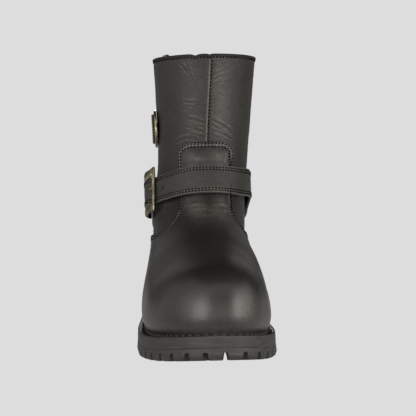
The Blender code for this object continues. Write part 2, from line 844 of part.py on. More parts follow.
def make_strap():
    """Strap round the instep: under the buckle's nose bar, over its back bar, with a rounded tail."""
    along = np.concatenate((STRAP_TAIL + 13 * (1 - np.cos(np.linspace(0.15, 0.5, 5) * math.pi)),
                            np.linspace(STRAP_TAIL + 15, NOSE_AT - 16, 8),
                            np.linspace(NOSE_AT - 13, NOSE_AT, 8),
                            np.linspace(NOSE_AT + 6, STRAP_END, 23)))
    sections = []
    for at in along:
        tip = np.clip((at - STRAP_TAIL) / 13, 0, 1)
        wide = strap_half(at) * math.sqrt(max(1 - (1 - tip) ** 2, 0.02))
        gap = float(strap_gap(at))
        corners = ((-wide, 0), (wide, 0), (wide, STRAP), (-wide, STRAP))
        sections.append([strap_place(at, across, gap + out) for across, out in corners])
    item = add_object("strap", tube_mesh("strap", sections), LEATHER)
    hole = [[strap_place(NOSE_AT - back, across, out) for across, out in ((-2, 1), (2, 1), (2, 13), (-2, 13))]
            for back in (2.6, 6, 9.4, 12.8)]
    cut(item, add_object("prong_hole", tube_mesh("prong_hole", hole)))
    return item


BAR_BACK = NOSE_AT - BUCKLE_WINDOW - BAR
BAR_BACK_OUT = GAP + BILLET + GAP + BAR / 2 + 0.8
NOSE_OUT = 2.5 + STRAP + GAP + BAR / 2 + 0.4


def frame_out(along):
    """Height of the buckle frame's middle above the upper."""
    share = np.clip((NOSE_AT - along) / (NOSE_AT - BAR_BACK), 0, 1)
    return NOSE_OUT + (BAR_BACK_OUT - NOSE_OUT) * share


def make_buckle_frame():
    """Cast frame round a window for the strap, its long sides hollowed and its corners drawn out."""
    front, back = NOSE_AT + BAR / 2, BAR_BACK - BAR / 2
    window_half = STRAP_WIDTH / 2 + WINDOW_CLEARANCE
    inner_front, inner_back = NOSE_AT - BAR / 2, BAR_BACK + BAR / 2
    sections = []
    count = 9
    for side, ends in (("top", (back, front)), ("bottom", (front, back))):
        sign = 1 if side == "top" else -1
        for share in np.linspace(0, 1, count):
            outer_at = ends[0] + (ends[1] - ends[0]) * share
            inner_at = np.clip(outer_at, inner_back, inner_front)
            from_middle = abs(2 * share - 1)
            reach = window_half + FRAME_SIDE + FRAME_FLARE * from_middle**2.5
            reach += 1.5 * (outer_at - back) / (front - back)
            for_out = frame_out(outer_at)
            rows = ((inner_at, sign * window_half), (outer_at, sign * reach))
            sections.append([strap_place(at - across * FRAME_SKEW, across, for_out + half)
                             for (at, across), half in
                             ((rows[0], -BAR / 2), (rows[1], -BAR / 2), (rows[1], BAR / 2), (rows[0], BAR / 2))])
    mesh = tube_mesh("buckle_frame", sections, True)
    item = add_object("buckle_frame", mesh, BRASS)
    bevel = item.modifiers.new("rounded", "BEVEL")
    bevel.width = 0.6 * MM
    bevel.segments = 1
    bevel.limit_method = "ANGLE"
    return item


def rod(name, path, radius, material, sides=8):
    """Round bar along a path, made from a curve with a bevel."""
    data = bpy.data.curves.new(name, "CURVE")
    data.dimensions = "3D"
    data.bevel_depth = radius * MM
    data.bevel_resolution = sides // 4
    data.use_fill_caps = True
    spline = data.splines.new("POLY")
    spline.points.add(len(path) - 1)
    for point, place in zip(spline.points, path):
        point.co = (*(np.asarray(place) * MM), 1)
    item = bpy.data.objects.new(name, data)
    COLLECTIONS["motorcycle_boot"].objects.link(item)
    data.materials.append(material)
    return item


def make_buckle_prong():
    """Prong from the back bar, up through the strap's hole and over the nose bar."""
    nose_top = NOSE_OUT + BAR / 2 + PRONG / 2 + 2 * GAP
    path = [
        strap_place(BAR_BACK + BAR / 2 + 2 * GAP + PRONG / 2, 0, BAR_BACK_OUT),
        strap_place(NOSE_AT - 14, 0, BAR_BACK_OUT + 0.5),
        strap_place(NOSE_AT - 9, 0, BAR_BACK_OUT + 1.1),
        strap_place(NOSE_AT - 5.4, 0, nose_top - 0.6),
        strap_place(NOSE_AT - 2, 0, nose_top),
        strap_place(NOSE_AT + 2.6, 0, nose_top - 0.1),
    ]
    return rod("buckle_prong", path, PRONG / 2, BRASS)


def make_strap_billet():
    """Short strap under the tail that holds the buckle's back bar, sewn to the quarter behind."""
    half = STRAP_WIDTH / 2 - 1
    sections = []
    for at in np.linspace(BAR_BACK + 1.5, BILLET_END, 14):
        corners = ((-half, GAP + 0.1), (half, GAP + 0.1), (half, GAP + 0.1 + BILLET), (-half, GAP + 0.1 + BILLET))
        sections.append([strap_place(at, across, out) for across, out in corners])
    return add_object("strap_billet", tube_mesh("strap_billet", sections), LEATHER)


def make_concho():
    """Round metal ornament on the outer side of the shaft: a disc with a raised ring and a domed middle."""
    profile = [(0, 3.4), (5, 3.1), (9, 2.2), (9.8, 2.2), (10.6, 4.4), (13.2, 4.4),
               (14, 2.2), (16.4, 1.7), (CONCHO_RADIUS, 0.9), (CONCHO_RADIUS - 0.5, 0), (0, 0)]
    centre = shaft_point(CONCHO_ANGLE, CONCHO_HEIGHT)
    aside = shaft_point(CONCHO_ANGLE + 8, CONCHO_HEIGHT) - shaft_point(CONCHO_ANGLE - 8, CONCHO_HEIGHT)
    upward = shaft_point(CONCHO_ANGLE, CONCHO_HEIGHT + 12) - shaft_point(CONCHO_ANGLE, CONCHO_HEIGHT - 12)
    outward = np.cross(aside, upward)
    outward /= np.linalg.norm(outward)
    outward *= np.sign(np.dot(outward, centre - (0, SHAFT_AXIS_Y, CONCHO_HEIGHT)))
    upward /= np.linalg.norm(upward)
    aside = np.cross(upward, outward)
    base = centre + outward * (GAP + 0.1)
    sections = []
    for turn in np.linspace(0, 2 * math.pi, 28, endpoint=False):
        way = aside * math.cos(turn) + upward * math.sin(turn)
        sections.append([base + way * radius + outward * height for radius, height in profile])
    faces = grid_faces(28, len(profile), True, False)
    mesh = mesh_from("concho", np.reshape(sections, (-1, 3)), faces)
    return add_object("concho", mesh, BRASS)


for make_piece in (
    make_outsole,
    make_heel,
    make_midsole,
    make_welt,
    make_insole,
    make_upper,
    make_vamp,
    make_collar_binding,
    make_front_seam,
    make_pull_loop,
    make_strap,
    make_strap_billet,
    make_buckle_frame,
    make_buckle_prong,
    make_concho,
):
    make_piece()
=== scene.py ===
import math

import bmesh
import bpy
import numpy as np
from mathutils import Matrix, Vector


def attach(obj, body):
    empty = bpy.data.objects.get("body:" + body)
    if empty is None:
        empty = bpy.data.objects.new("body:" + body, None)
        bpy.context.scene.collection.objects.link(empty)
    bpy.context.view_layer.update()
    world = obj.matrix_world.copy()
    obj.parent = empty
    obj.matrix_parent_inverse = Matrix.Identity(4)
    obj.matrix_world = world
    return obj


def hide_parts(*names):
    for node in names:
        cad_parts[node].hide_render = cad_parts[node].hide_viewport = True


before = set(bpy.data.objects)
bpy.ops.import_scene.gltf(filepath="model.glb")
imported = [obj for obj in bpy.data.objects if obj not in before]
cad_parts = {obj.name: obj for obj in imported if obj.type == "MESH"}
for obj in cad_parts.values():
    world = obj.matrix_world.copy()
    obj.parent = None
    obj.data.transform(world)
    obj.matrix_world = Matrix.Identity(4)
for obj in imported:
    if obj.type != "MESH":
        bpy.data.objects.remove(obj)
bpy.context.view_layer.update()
mm = 0.001
print("frame loaded:", len(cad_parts), "nodes")


# Small tables and curves

def rows(names, *values):
    return {name: np.array(column, float) for name, column in zip(names.split(), zip(*values))}


def follow(columns, along, column, at):  # smooth reading of a table, without overshoot
    x, f = columns[along], columns[column]
    if x[0] > x[-1]:
        x, f = x[::-1], f[::-1]
    step = np.diff(x)
    rise = np.diff(f) / step
    slope = np.concatenate(([rise[0]], np.zeros(len(x) - 2), [rise[-1]]))
    sameWay = rise[:-1] * rise[1:] > 0
    slope[1:-1][sameWay] = 2 / (1 / rise[:-1][sameWay] + 1 / rise[1:][sameWay])
    at = np.clip(at, x[0], x[-1])
    i = np.clip(np.searchsorted(x, at) - 1, 0, len(x) - 2)
    h = step[i]
    t = (at - x[i]) / h
    start = f[i] * (1 + 2 * t) * (1 - t) ** 2 + slope[i] * h * t * (1 - t) ** 2
    return start + f[i + 1] * t**2 * (3 - 2 * t) + slope[i + 1] * h * t**2 * (t - 1)


def smooth(x):
    x = np.clip(x, 0, 1)
    return x * x * (3 - 2 * x)


def bump(distance, width):  # soft hump round zero
    return np.exp(-((distance / width) ** 2))


def unit(vectors):
    return vectors / np.maximum(np.linalg.norm(vectors, axis=-1, keepdims=True), 1e-12)


def runOf(points):  # distance along a line of points
    return np.concatenate(([0], np.cumsum(np.linalg.norm(np.diff(points, axis=0), axis=1))))


def alongLine(points, run, at):
    return np.stack([np.interp(at, run, points[:, i]) for i in range(points.shape[1])], -1)


def curveThrough(columns, count):
    names = list(columns)
    spans = np.hypot(np.diff(columns[names[0]]), np.diff(columns[names[1]]))
    columns = dict(columns, run=np.concatenate(([0], np.cumsum(spans))))
    run = np.linspace(0, columns["run"][-1], count)
    return [follow(columns, "run", name, run) for name in names]


def unevenness(points, height, wavelength, seed, waves=36):  # smooth random relief of about that height
    pick = np.random.default_rng(seed)
    ways = unit(pick.normal(size=(waves, 3)))
    ways *= 2 * np.pi / (wavelength * pick.uniform(0.7, 1.6, (waves, 1)))
    phases = pick.uniform(0, 2 * np.pi, waves)
    flat = points.reshape(-1, 3)
    total = np.zeros(len(flat))
    for way, phase in zip(ways, phases):
        total += np.sin(flat @ way + phase)
    return height * (total / math.sqrt(waves / 2)).reshape(points.shape[:-1])


# The last: the same form as the frame's solids

last = {
    "collar": 244.6,
    "wall": 2.2,
    "toeTip": -267.0,
    "toeRound": 82.0,  # from above
    "toeDrop": 52.0,  # from the side
    "toePower": 2.35,
    "toeBlend": (-120.0, 60.0),  # where the fuller toe begins, and over what length
    "crestPower": 2.9,
    "tuck": 5.0,
    "tuckHeight": 13.0,
    "ankle": (12.0, 70.0),  # the shaft's width takes over: from how far above the feather line, over what
    "instep": (-150.0, 90.0),  # the same along y
    "axis": -32.0,  # middle of the shaft, along y
    "pivot": (-60.0, 62.0),  # inside the foot, in y and z
    "heelEnd": 34.5,
    "ridge": rows(
        "y z depth aside",
        (-300, 75, 45, 14),
        (-262, 76.5, 46, 14),
        (-232, 78, 51, 13),
        (-205, 81, 57, 11.5),
        (-180, 87, 62, 9.5),
        (-150, 99, 65, 7.8),
        (-124, 115, 64, 6.8),
        (-104, 135, 61, 5),
        (-91, 160, 60, 3.2),
        (-83, 192, 60, 2.4),
        (-80, 222, 60, 2.3),
        (-81, 270, 60, 2.3),
    ),
    "back": rows(
        "z y depth",
        (20, 32, 36),
        (38, 34.5, 36),
        (50, 38.5, 36),
        (66, 40, 38),
        (92, 36.5, 42),
        (120, 33, 52),
        (155, 33, 58),
        (200, 37, 60),
        (270, 42, 60),
    ),
    "foot": rows(
        "y medial lateral",
        (-270, 47, 37),
        (-215, 50.5, 43),
        (-180, 51.5, 46.8),
        (-150, 50.5, 48.5),
        (-115, 46.5, 47),
        (-80, 40, 45),
        (-40, 35.5, 40.5),
        (0, 36, 37.5),
        (45, 36, 36.5),
    ),
    "shaft": rows(
        "z lean medial lateral",
        (20, 0, 36, 37),
        (60, 0, 36.5, 38),
        (100, 0.2, 40.0, 41.5),
        (128, 2.2, 39.5, 41),
        (152, 4.2, 40.2, 40.4),
        (200, 6.3, 43.2, 43.4),
        (246, 7.7, 46.2, 46.4),
        (270, 8.4, 48, 48),
    ),
    "sole": rows(
        "y feather tread",
        (-282, 28.8, 10.6),
        (-268, 26.4, 8.2),
        (-250, 23.7, 5.5),
        (-228, 21.2, 3.0),
        (-205, 19.5, 1.2),
        (-184, 19.0, 0),
        (-158, 19.0, 0),
        (-132, 20.0, 0),
        (-114, 21.8, 2.4),
        (-88, 25.0, 8.2),
        (-60, 28.8, 14.2),
        (-28, 32.8, 18.4),
        (5, 36.0, 21.6),
        (50, 38.6, 24.2),
    ),
}
ridgeLine = curveThrough(last["ridge"], 220)


def feather(y):
    return follow(last["sole"], "y", "feather", y)


def tread(y):
    return follow(last["sole"], "y", "tread", y)


def ridgeChunk(y, z):
    lineY, lineZ, depth, aside = ridgeLine
    edgeY, edgeZ = np.diff(lineY), np.diff(lineZ)
    fromY, fromZ = y[:, None] - lineY[:-1], z[:, None] - lineZ[:-1]
    share = np.clip((fromY * edgeY + fromZ * edgeZ) / (edgeY**2 + edgeZ**2), 0, 1)
    offY, offZ = fromY - share * edgeY, fromZ - share * edgeZ
    away = np.hypot(offY, offZ)
    near = np.argmin(away, axis=1)
    at = np.arange(len(near))
    side = np.sign(offY[at, near] * edgeZ[near] - offZ[at, near] * edgeY[near])
    part = share[at, near]
    mixed = [values[near] + part * (values[near + 1] - values[near]) for values in (depth, aside)]
    return away[at, near] * side, *mixed


def ridgeGap(y, z):  # distance inside the front line, its rounding depth, and how far aside it lies
    y, z = np.broadcast_arrays(np.asarray(y, float), np.asarray(z, float))
    chunk = 16000
    flatY, flatZ = y.ravel(), z.ravel()
    parts = [ridgeChunk(flatY[i:i + chunk], flatZ[i:i + chunk]) for i in range(0, y.size, chunk)]
    return [np.concatenate(part).reshape(y.shape) for part in zip(*parts)]


def tuckIn(y, z):
    return last["tuck"] * np.clip(1 - (z - feather(y)) / last["tuckHeight"], 0, 1) ** 2


def swell(y, z):  # share of the full half width, below 0 outside the outline, and the ridge's place aside
    gap, depth, aside = ridgeGap(y, z)
    over = np.clip(1 - gap / depth, 0, 3)
    fromTip = y - last["toeTip"] - tuckIn(y, z)
    toe = np.clip(1 - fromTip / last["toeRound"], 0, 3)
    behind = follow(last["back"], "z", "y", z) - y
    heel = np.clip(1 - behind / follow(last["back"], "z", "depth", z), 0, 3)
    nose = np.clip(1 - fromTip / last["toeDrop"], 0, 1)
    tall = np.maximum(1 - nose ** last["crestPower"], 1e-9) ** (1 / last["crestPower"])
    blendFrom, blendOver = last["toeBlend"]
    power = 2 + (last["toePower"] - 2) * smooth((blendFrom - y) / blendOver)
    under, before = 1 - (over / tall) ** power, 1 - toe**power
    left = np.where((under > 0) & (before > 0), under * before, np.minimum(under, before)) - heel**power
    return np.sign(left) * np.abs(left) ** (1 / power), aside


def halfWidth(y, z, side):
    name = "medial" if side > 0 else "lateral"
    foot, shaft = follow(last["foot"], "y", name, y), follow(last["shaft"], "z", name, z)
    lowest, rising = last["ankle"]
    furthest, running = last["instep"]
    toShaft = smooth((z - feather(y) - lowest) / rising) * smooth((y - furthest) / running)
    return foot + (shaft - foot) * toShaft - tuckIn(y, z)


def lean(z):
    return follow(last["shaft"], "z", "lean", z)


def edgesAt(y, z):  # lateral and medial edges at a place in side view, and whether it is inside
    full, aside = swell(y, z)
    share = np.clip(full, 0, 1)
    middle = lean(z) + aside * (1 - share)
    return middle - halfWidth(y, z, -1) * share, middle + halfWidth(y, z, 1) * share, full > 0


def makeFrontLine():  # rays from the pivot, halved until they end on the outline
    pivot, rays, longest = last["pivot"], 2600, 260.0
    low = last["toeTip"] + last["tuck"]
    toe = (low, float(feather(low)))
    collar = (float(np.interp(last["collar"], ridgeLine[1], ridgeLine[0])), last["collar"])
    ends = [math.atan2(p[1] - pivot[1], pivot[0] - p[0]) for p in (toe, collar)]
    angles = np.linspace(ends[0], ends[1], rays)
    wayY, wayZ = -np.cos(angles), np.sin(angles)
    near, far = np.zeros(rays), np.full(rays, longest)
    for _ in range(44):
        middle = (near + far) / 2
        inside = swell(pivot[0] + wayY * middle, pivot[1] + wayZ * middle)[0] > 0
        near, far = np.where(inside, middle, near), np.where(inside, far, middle)
    line = np.stack((pivot[0] + wayY * near, pivot[1] + wayZ * near), 1)
    run = runOf(line)
    return run / run[-1], line[:, 0], line[:, 1]


frontLine = makeFrontLine()
heelFeather = float(feather(last["heelEnd"]))


def sideView(around, up):
    frontY, frontZ = (np.interp(up, frontLine[0], values) for values in frontLine[1:])
    backZ = heelFeather + (last["collar"] - heelFeather) * up
    backY = follow(last["back"], "z", "y", backZ)
    share = (1 - np.cos(np.pi * around)) / 2
    y = frontY + (backY - frontY) * share
    frontFeather = feather(frontY)
    straight = frontFeather + (heelFeather - frontFeather) * share
    return y, frontZ + (backZ - frontZ) * share + (1 - up) ** 3 * (feather(y) - straight)


def upperPoint(around, up):  # around: -1 at the back, by the outer side to 0 in front, by the inner side to 1
    y, z = sideView(np.abs(around), up)
    lateral, medial, _ = edgesAt(y, z)
    return np.stack((np.where(np.asarray(around) >= 0, medial, lateral), y, z), -1)


def upperNormal(around, up, step=0.005):
    up = np.clip(up, step, 1 - step)
    after, before = ((around + way + 1) % 2 - 1 for way in (step, -step))  # runs on over the back
    across = upperPoint(after, up) - upperPoint(before, up)
    rising = upperPoint(around, up + step) - upperPoint(around, up - step)
    return unit(np.cross(across, rising))


def upAndAround(y, z):  # the upper's own coordinates of a place in side view
    low, high = np.zeros(y.shape), np.ones(y.shape)
    for _ in range(40):
        up = (low + high) / 2
        frontY = np.interp(up, frontLine[0], frontLine[1])
        backY = follow(last["back"], "z", "y", heelFeather + (last["collar"] - heelFeather) * up)
        share = np.clip((y - frontY) / (backY - frontY), 0, 1)
        around = np.arccos(1 - 2 * share) / np.pi
        under = sideView(around, up)[1] < z
        low, high = np.where(under, up, low), np.where(under, high, up)
    return around, up


def shaftPoint(angle, z, out=0.0):  # seen from above, 0 is the front and plus the inner side
    angle, z = np.broadcast_arrays(np.radians(angle), np.asarray(z, float))
    wayX, wayY = np.sin(angle), -np.cos(angle)
    low, high = np.zeros(angle.shape), np.full(angle.shape, 200.0)
    for _ in range(40):
        middle = (low + high) / 2
        x, y = lean(z) + wayX * middle, last["axis"] + wayY * middle
        lateral, medial, within = edgesAt(y, z)
        inside = within & (lateral < x) & (x < medial)
        low, high = np.where(inside, middle, low), np.where(inside, high, middle)
    return np.stack((lean(z) + wayX * (low + out), last["axis"] + wayY * (low + out), z), -1)


print("last: front line of", len(frontLine[0]), "points")


# Mesh helpers

def gridFaces(rowCount, columnCount, wrapRows=False, wrapColumns=False):
    i = np.arange(rowCount if wrapRows else rowCount - 1)[:, None]
    j = np.arange(columnCount if wrapColumns else columnCount - 1)[None, :]
    nextI, nextJ = (i + 1) % rowCount, (j + 1) % columnCount
    here, after = i * columnCount, nextI * columnCount
    corners = (here + j, here + nextJ, after + nextJ, after + j)
    return np.stack(np.broadcast_arrays(*corners), -1).reshape(-1, 4).tolist()


def addPiece(name, points, faces, materials, masks=None, faceSlots=None, smoothAngle=50):
    mesh = bpy.data.meshes.new(name)
    mesh.from_pydata((np.asarray(points, float).reshape(-1, 3) * mm).tolist(), [], faces)
    for material in materials:
        mesh.materials.append(material)
    if faceSlots is not None:
        mesh.polygons.foreach_set("material_index", np.asarray(faceSlots, np.int32))
    for maskName, values in (masks or {}).items():
        mask = mesh.attributes.new(maskName, "FLOAT", "POINT")
        mask.data.foreach_set("value", np.asarray(values, np.float32).ravel())
    return finishPiece(name, mesh, smoothAngle)


def turnOutward(mesh):
    shape = bmesh.new()
    shape.from_mesh(mesh)
    bmesh.ops.recalc_face_normals(shape, faces=shape.faces)
    shape.to_mesh(mesh)
    shape.free()


def addObject(name, data):
    made = bpy.data.objects.new(name, data)
    bpy.context.scene.collection.objects.link(made)
    return made


def finishPiece(name, mesh, smoothAngle):
    turnOutward(mesh)
    mesh.shade_smooth()
    mesh.set_sharp_from_angle(angle=math.radians(smoothAngle))
    piece = addObject(name, mesh)
    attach(piece, "root")
    return piece


def tubeFaces(rowCount, columnCount, closed=False):  # sections joined into a ring, or a bar with capped ends
    faces = gridFaces(rowCount, columnCount, closed, True)
    if not closed:
        start = (rowCount - 1) * columnCount
        faces += [list(range(columnCount)), list(range(start, start + columnCount))]
    return faces


def roundedLoop(width, height, radius, perCorner=4):  # points of a rounded rectangle round its middle
    points = []
    for cornerX, cornerY, start in ((1, 1, 0), (-1, 1, 90), (-1, -1, 180), (1, -1, 270)):
        for turn in np.radians(start + np.linspace(0, 90, perCorner)):
            points.append((
                cornerX * (width / 2 - radius) + radius * math.cos(turn),
                cornerY * (height / 2 - radius) + radius * math.sin(turn),
            ))
    return np.array(points)


def stitchMesh(runs, thread):  # every stitch is a short arched thread that dives in at both ends
    shape, sides = np.linspace(-1, 1, 7), 6
    turns = np.linspace(0, 2 * np.pi, sides, endpoint=False)
    swellAlong = np.maximum(1 - np.abs(shape) ** 3, 0.12) ** 0.5
    solids = []
    count = max(int(runOf(runs[0][0])[-1] / thread["pitch"]), 1)
    for path, outward in runs:
        run = runOf(path)
        for middle in (np.arange(count) + 0.5) * run[-1] / count:
            at = middle + shape * thread["length"] / 2
            line, away = alongLine(path, run, at), unit(alongLine(outward, run, at))
            forward = unit(np.gradient(line, axis=0))
            across = np.cross(forward, away)
            centre = line + away * (thread["lift"] * (1 - shape**2) - thread["sink"])[:, None]
            ring = across[:, None] * np.cos(turns)[:, None] + away[:, None] * np.sin(turns)[:, None]
            solids.append(centre[:, None] + ring * (thread["radius"] * swellAlong)[:, None, None])
    perStitch = tubeFaces(len(shape), sides)
    size = len(shape) * sides
    faces = [[corner + k * size for corner in face] for k in range(len(solids)) for face in perStitch]
    return np.array(solids), faces


def onFront(points):  # 1 on the front, fading out round the sides
    return smooth((-50 - points[..., 1]) / 12)


def creaseRelief(points, creases):  # soft troughs with raised flanks, placed on the front in x and z
    relief = np.zeros(points.shape[:-1])
    front = onFront(points)
    for fromX, fromZ, toX, toZ, bow, width, depth in creases:
        length = math.hypot(toX - fromX, toZ - fromZ)
        wayX, wayZ = (toX - fromX) / length, (toZ - fromZ) / length
        x, z = points[..., 0] - fromX, points[..., 2] - fromZ
        share = (x * wayX + z * wayZ) / length
        off = z * wayX - x * wayZ - bow * np.sin(np.pi * np.clip(share, 0, 1))
        fade = smooth((share + 0.12) / 0.35) * smooth((1.12 - share) / 0.35)
        trough = -bump(off, width) + 0.5 * bump(np.abs(off) - 1.9 * width, 1.1 * width)
        relief += depth * fade * trough * front
    return relief


def sheenAndWearPatches(points, patches):  # pale, soft-edged patches on the front, painted highlights and wear: x, z, reach across and up, amount
    worn = np.zeros(points.shape[:-1])
    for x, z, wide, high, amount in patches:
        worn += amount * bump(points[..., 0] - x, wide) * bump(points[..., 2] - z, high)
    return worn * onFront(points)


def creaseMask(relief, full, amount):  # grows with the relief, up to the amount at its full height
    return np.clip(relief / full, 0, 1) * amount


# Shader node helpers

def addNode(tree, kind, settings=None, **inputs):
    made = tree.nodes.new("ShaderNode" + kind)
    for name, value in (settings or {}).items():
        setattr(made, name, value)
    for name, value in inputs.items():
        plug(tree, made.inputs[name], value)
    return made


def plug(tree, socket, value):
    if isinstance(value, bpy.types.NodeSocket):
        tree.links.new(value, socket)
    else:
        socket.default_value = value


def placeOn(tree):  # coordinates that stay with the piece
    return addNode(tree, "TexCoord").outputs["Object"]


def stretched(tree, place, lengths):
    made = addNode(tree, "VectorMath", {"operation": "MULTIPLY"})
    plug(tree, made.inputs[0], place)
    plug(tree, made.inputs[1], lengths)
    return made.outputs[0]


def opaque(colour, share=1.0):  # a colour with its alpha, darker or paler by a share
    return (*(part * share for part in colour), 1)


def maths(tree, operation, *values):
    made = tree.nodes.new("ShaderNodeMath")
    made.operation = operation
    for socket, value in zip(made.inputs, values):
        plug(tree, socket, value)
    return made.outputs[0]


def blendColour(tree, share, first, second):
    made = tree.nodes.new("ShaderNodeMix")
    made.data_type = "RGBA"
    for index, value in ((0, share), (6, first), (7, second)):
        plug(tree, made.inputs[index], value)
    return made.outputs[2]


def remap(tree, value, low, high):  # soft step from 0 at the low value to 1 at the high one
    made = addNode(tree, "MapRange", {"interpolation_type": "SMOOTHSTEP"}, Value=value)
    made.inputs["From Min"].default_value = low
    made.inputs["From Max"].default_value = high
    return made.outputs["Result"]


def newGroup(name, inputs, outputs):
    tree = bpy.data.node_groups.new(name, "ShaderNodeTree")
    for label, default in inputs.items():
        socket = tree.interface.new_socket(label, in_out="INPUT", socket_type="NodeSocketFloat")
        socket.default_value = default
    for label in outputs:
        tree.interface.new_socket(label, in_out="OUTPUT", socket_type="NodeSocketFloat")
    start, end = tree.nodes.new("NodeGroupInput"), tree.nodes.new("NodeGroupOutput")
    return tree, start.outputs, end.inputs, placeOn(tree)


def useGroup(tree, group, **inputs):
    made = tree.nodes.new("ShaderNodeGroup")
    made.node_tree = group
    for name, value in inputs.items():
        plug(tree, made.inputs[name], value)
    return made.outputs


def makeGrainGroup():  # pebbled leather: small cells with creased borders, and pores
    tree, given, result, place = newGroup("leatherGrain", {"Cells": 900.0, "Pores": 0.3}, ["Height"])
    bent = addNode(tree, "TexNoise", Vector=place, Scale=260.0, Detail=2.0)
    shifted = addNode(tree, "VectorMath", {"operation": "MULTIPLY_ADD"})
    plug(tree, shifted.inputs[0], bent.outputs["Color"])
    shifted.inputs[1].default_value = (0.0012, 0.0012, 0.0012)
    plug(tree, shifted.inputs[2], place)
    borders = {"feature": "DISTANCE_TO_EDGE"}
    cells = addNode(tree, "TexVoronoi", borders, Vector=shifted.outputs[0], Scale=given["Cells"])
    pebble = remap(tree, cells.outputs["Distance"], 0.0, 0.3)
    pores = addNode(tree, "TexNoise", Vector=place, Scale=2600.0, Detail=3.0)
    height = maths(tree, "MULTIPLY_ADD", pores.outputs["Fac"], given["Pores"], pebble)
    tree.links.new(height, result["Height"])
    return tree


def makeWrinkleGroup():  # thin wandering furrows, longer across than up
    tree, given, result, place = newGroup("leatherWrinkles", {"Scale": 120.0, "Width": 0.05}, ["Height"])
    longer = stretched(tree, place, (1.0, 1.0, 2.1))
    cloud = addNode(tree, "TexNoise", Vector=longer, Scale=given["Scale"], Detail=3.0, Roughness=0.6)
    fromMiddle = maths(tree, "ABSOLUTE", maths(tree, "SUBTRACT", cloud.outputs["Fac"], 0.5))
    furrow = maths(tree, "MINIMUM", maths(tree, "DIVIDE", fromMiddle, given["Width"]), 1.0)
    tree.links.new(maths(tree, "ADD", furrow, cloud.outputs["Fac"]), result["Height"])
    return tree


def makeDriftGroup():  # slow change of tone over a hide or a casting
    tree, given, result, place = newGroup("toneDrift", {"Scale": 30.0, "Contrast": 1.0}, ["Mask"])
    cloud = addNode(tree, "TexNoise", Vector=place, Scale=given["Scale"], Detail=4.0, Roughness=0.6)
    centred = maths(tree, "SUBTRACT", cloud.outputs["Fac"], 0.5)
    spread = maths(tree, "MULTIPLY_ADD", centred, given["Contrast"], 0.5)
    tree.links.new(maths(tree, "MINIMUM", maths(tree, "MAXIMUM", spread, 0.0), 1.0), result["Mask"])
    return tree


def makeDustGroup():  # scattered pale specks
    tree, given, result, place = newGroup("dustSpecks", {"Scale": 90.0, "Size": 0.05, "Share": 0.3}, ["Mask"])
    cells = addNode(tree, "TexVoronoi", {"feature": "F1"}, Vector=place, Scale=given["Scale"])
    near = maths(tree, "LESS_THAN", cells.outputs["Distance"], given["Size"])
    chosen = addNode(tree, "SeparateColor", Color=cells.outputs["Color"])
    kept = maths(tree, "LESS_THAN", chosen.outputs["Red"], given["Share"])
    tree.links.new(maths(tree, "MULTIPLY", near, kept), result["Mask"])
    return tree


def makeStreakGroup():  # rubbed, level streaks on a sole's edge
    inputs = {"Stretch": 14.0, "Scale": 60.0}
    tree, given, result, place = newGroup("rubbedStreaks", inputs, ["Mask", "Height"])
    lengths = addNode(tree, "CombineXYZ", X=1.0, Y=1.0, Z=given["Stretch"])
    level = stretched(tree, place, lengths.outputs[0])
    streak = addNode(tree, "TexNoise", Vector=level, Scale=given["Scale"], Detail=5.0, Roughness=0.65)
    fine = addNode(tree, "TexNoise", Vector=place, Scale=1500.0, Detail=2.0)
    tree.links.new(remap(tree, streak.outputs["Fac"], 0.5, 0.72), result["Mask"])
    height = maths(tree, "MULTIPLY_ADD", fine.outputs["Fac"], 0.5, streak.outputs["Fac"])
    tree.links.new(height, result["Height"])
    return tree


grainGroup = makeGrainGroup()
wrinkleGroup = makeWrinkleGroup()
driftGroup = makeDriftGroup()
dustGroup = makeDustGroup()
streakGroup = makeStreakGroup()


def newMaterial(name, roughness, metallic=0.0):
    material = bpy.data.materials.new(name)
    material.use_nodes = True
    tree = material.node_tree
    shader = tree.nodes["Principled BSDF"]
    shader.inputs["Roughness"].default_value = roughness
    shader.inputs["Metallic"].default_value = metallic
    return material, tree, shader


def addBump(tree, shader, height, strength, distance):
    lifted = addNode(tree, "Bump", Height=height, Strength=strength, Distance=distance)
    tree.links.new(lifted.outputs["Normal"], shader.inputs["Normal"])


def maskOf(tree, name):
    return addNode(tree, "Attribute", {"attribute_name": name}).outputs["Fac"]


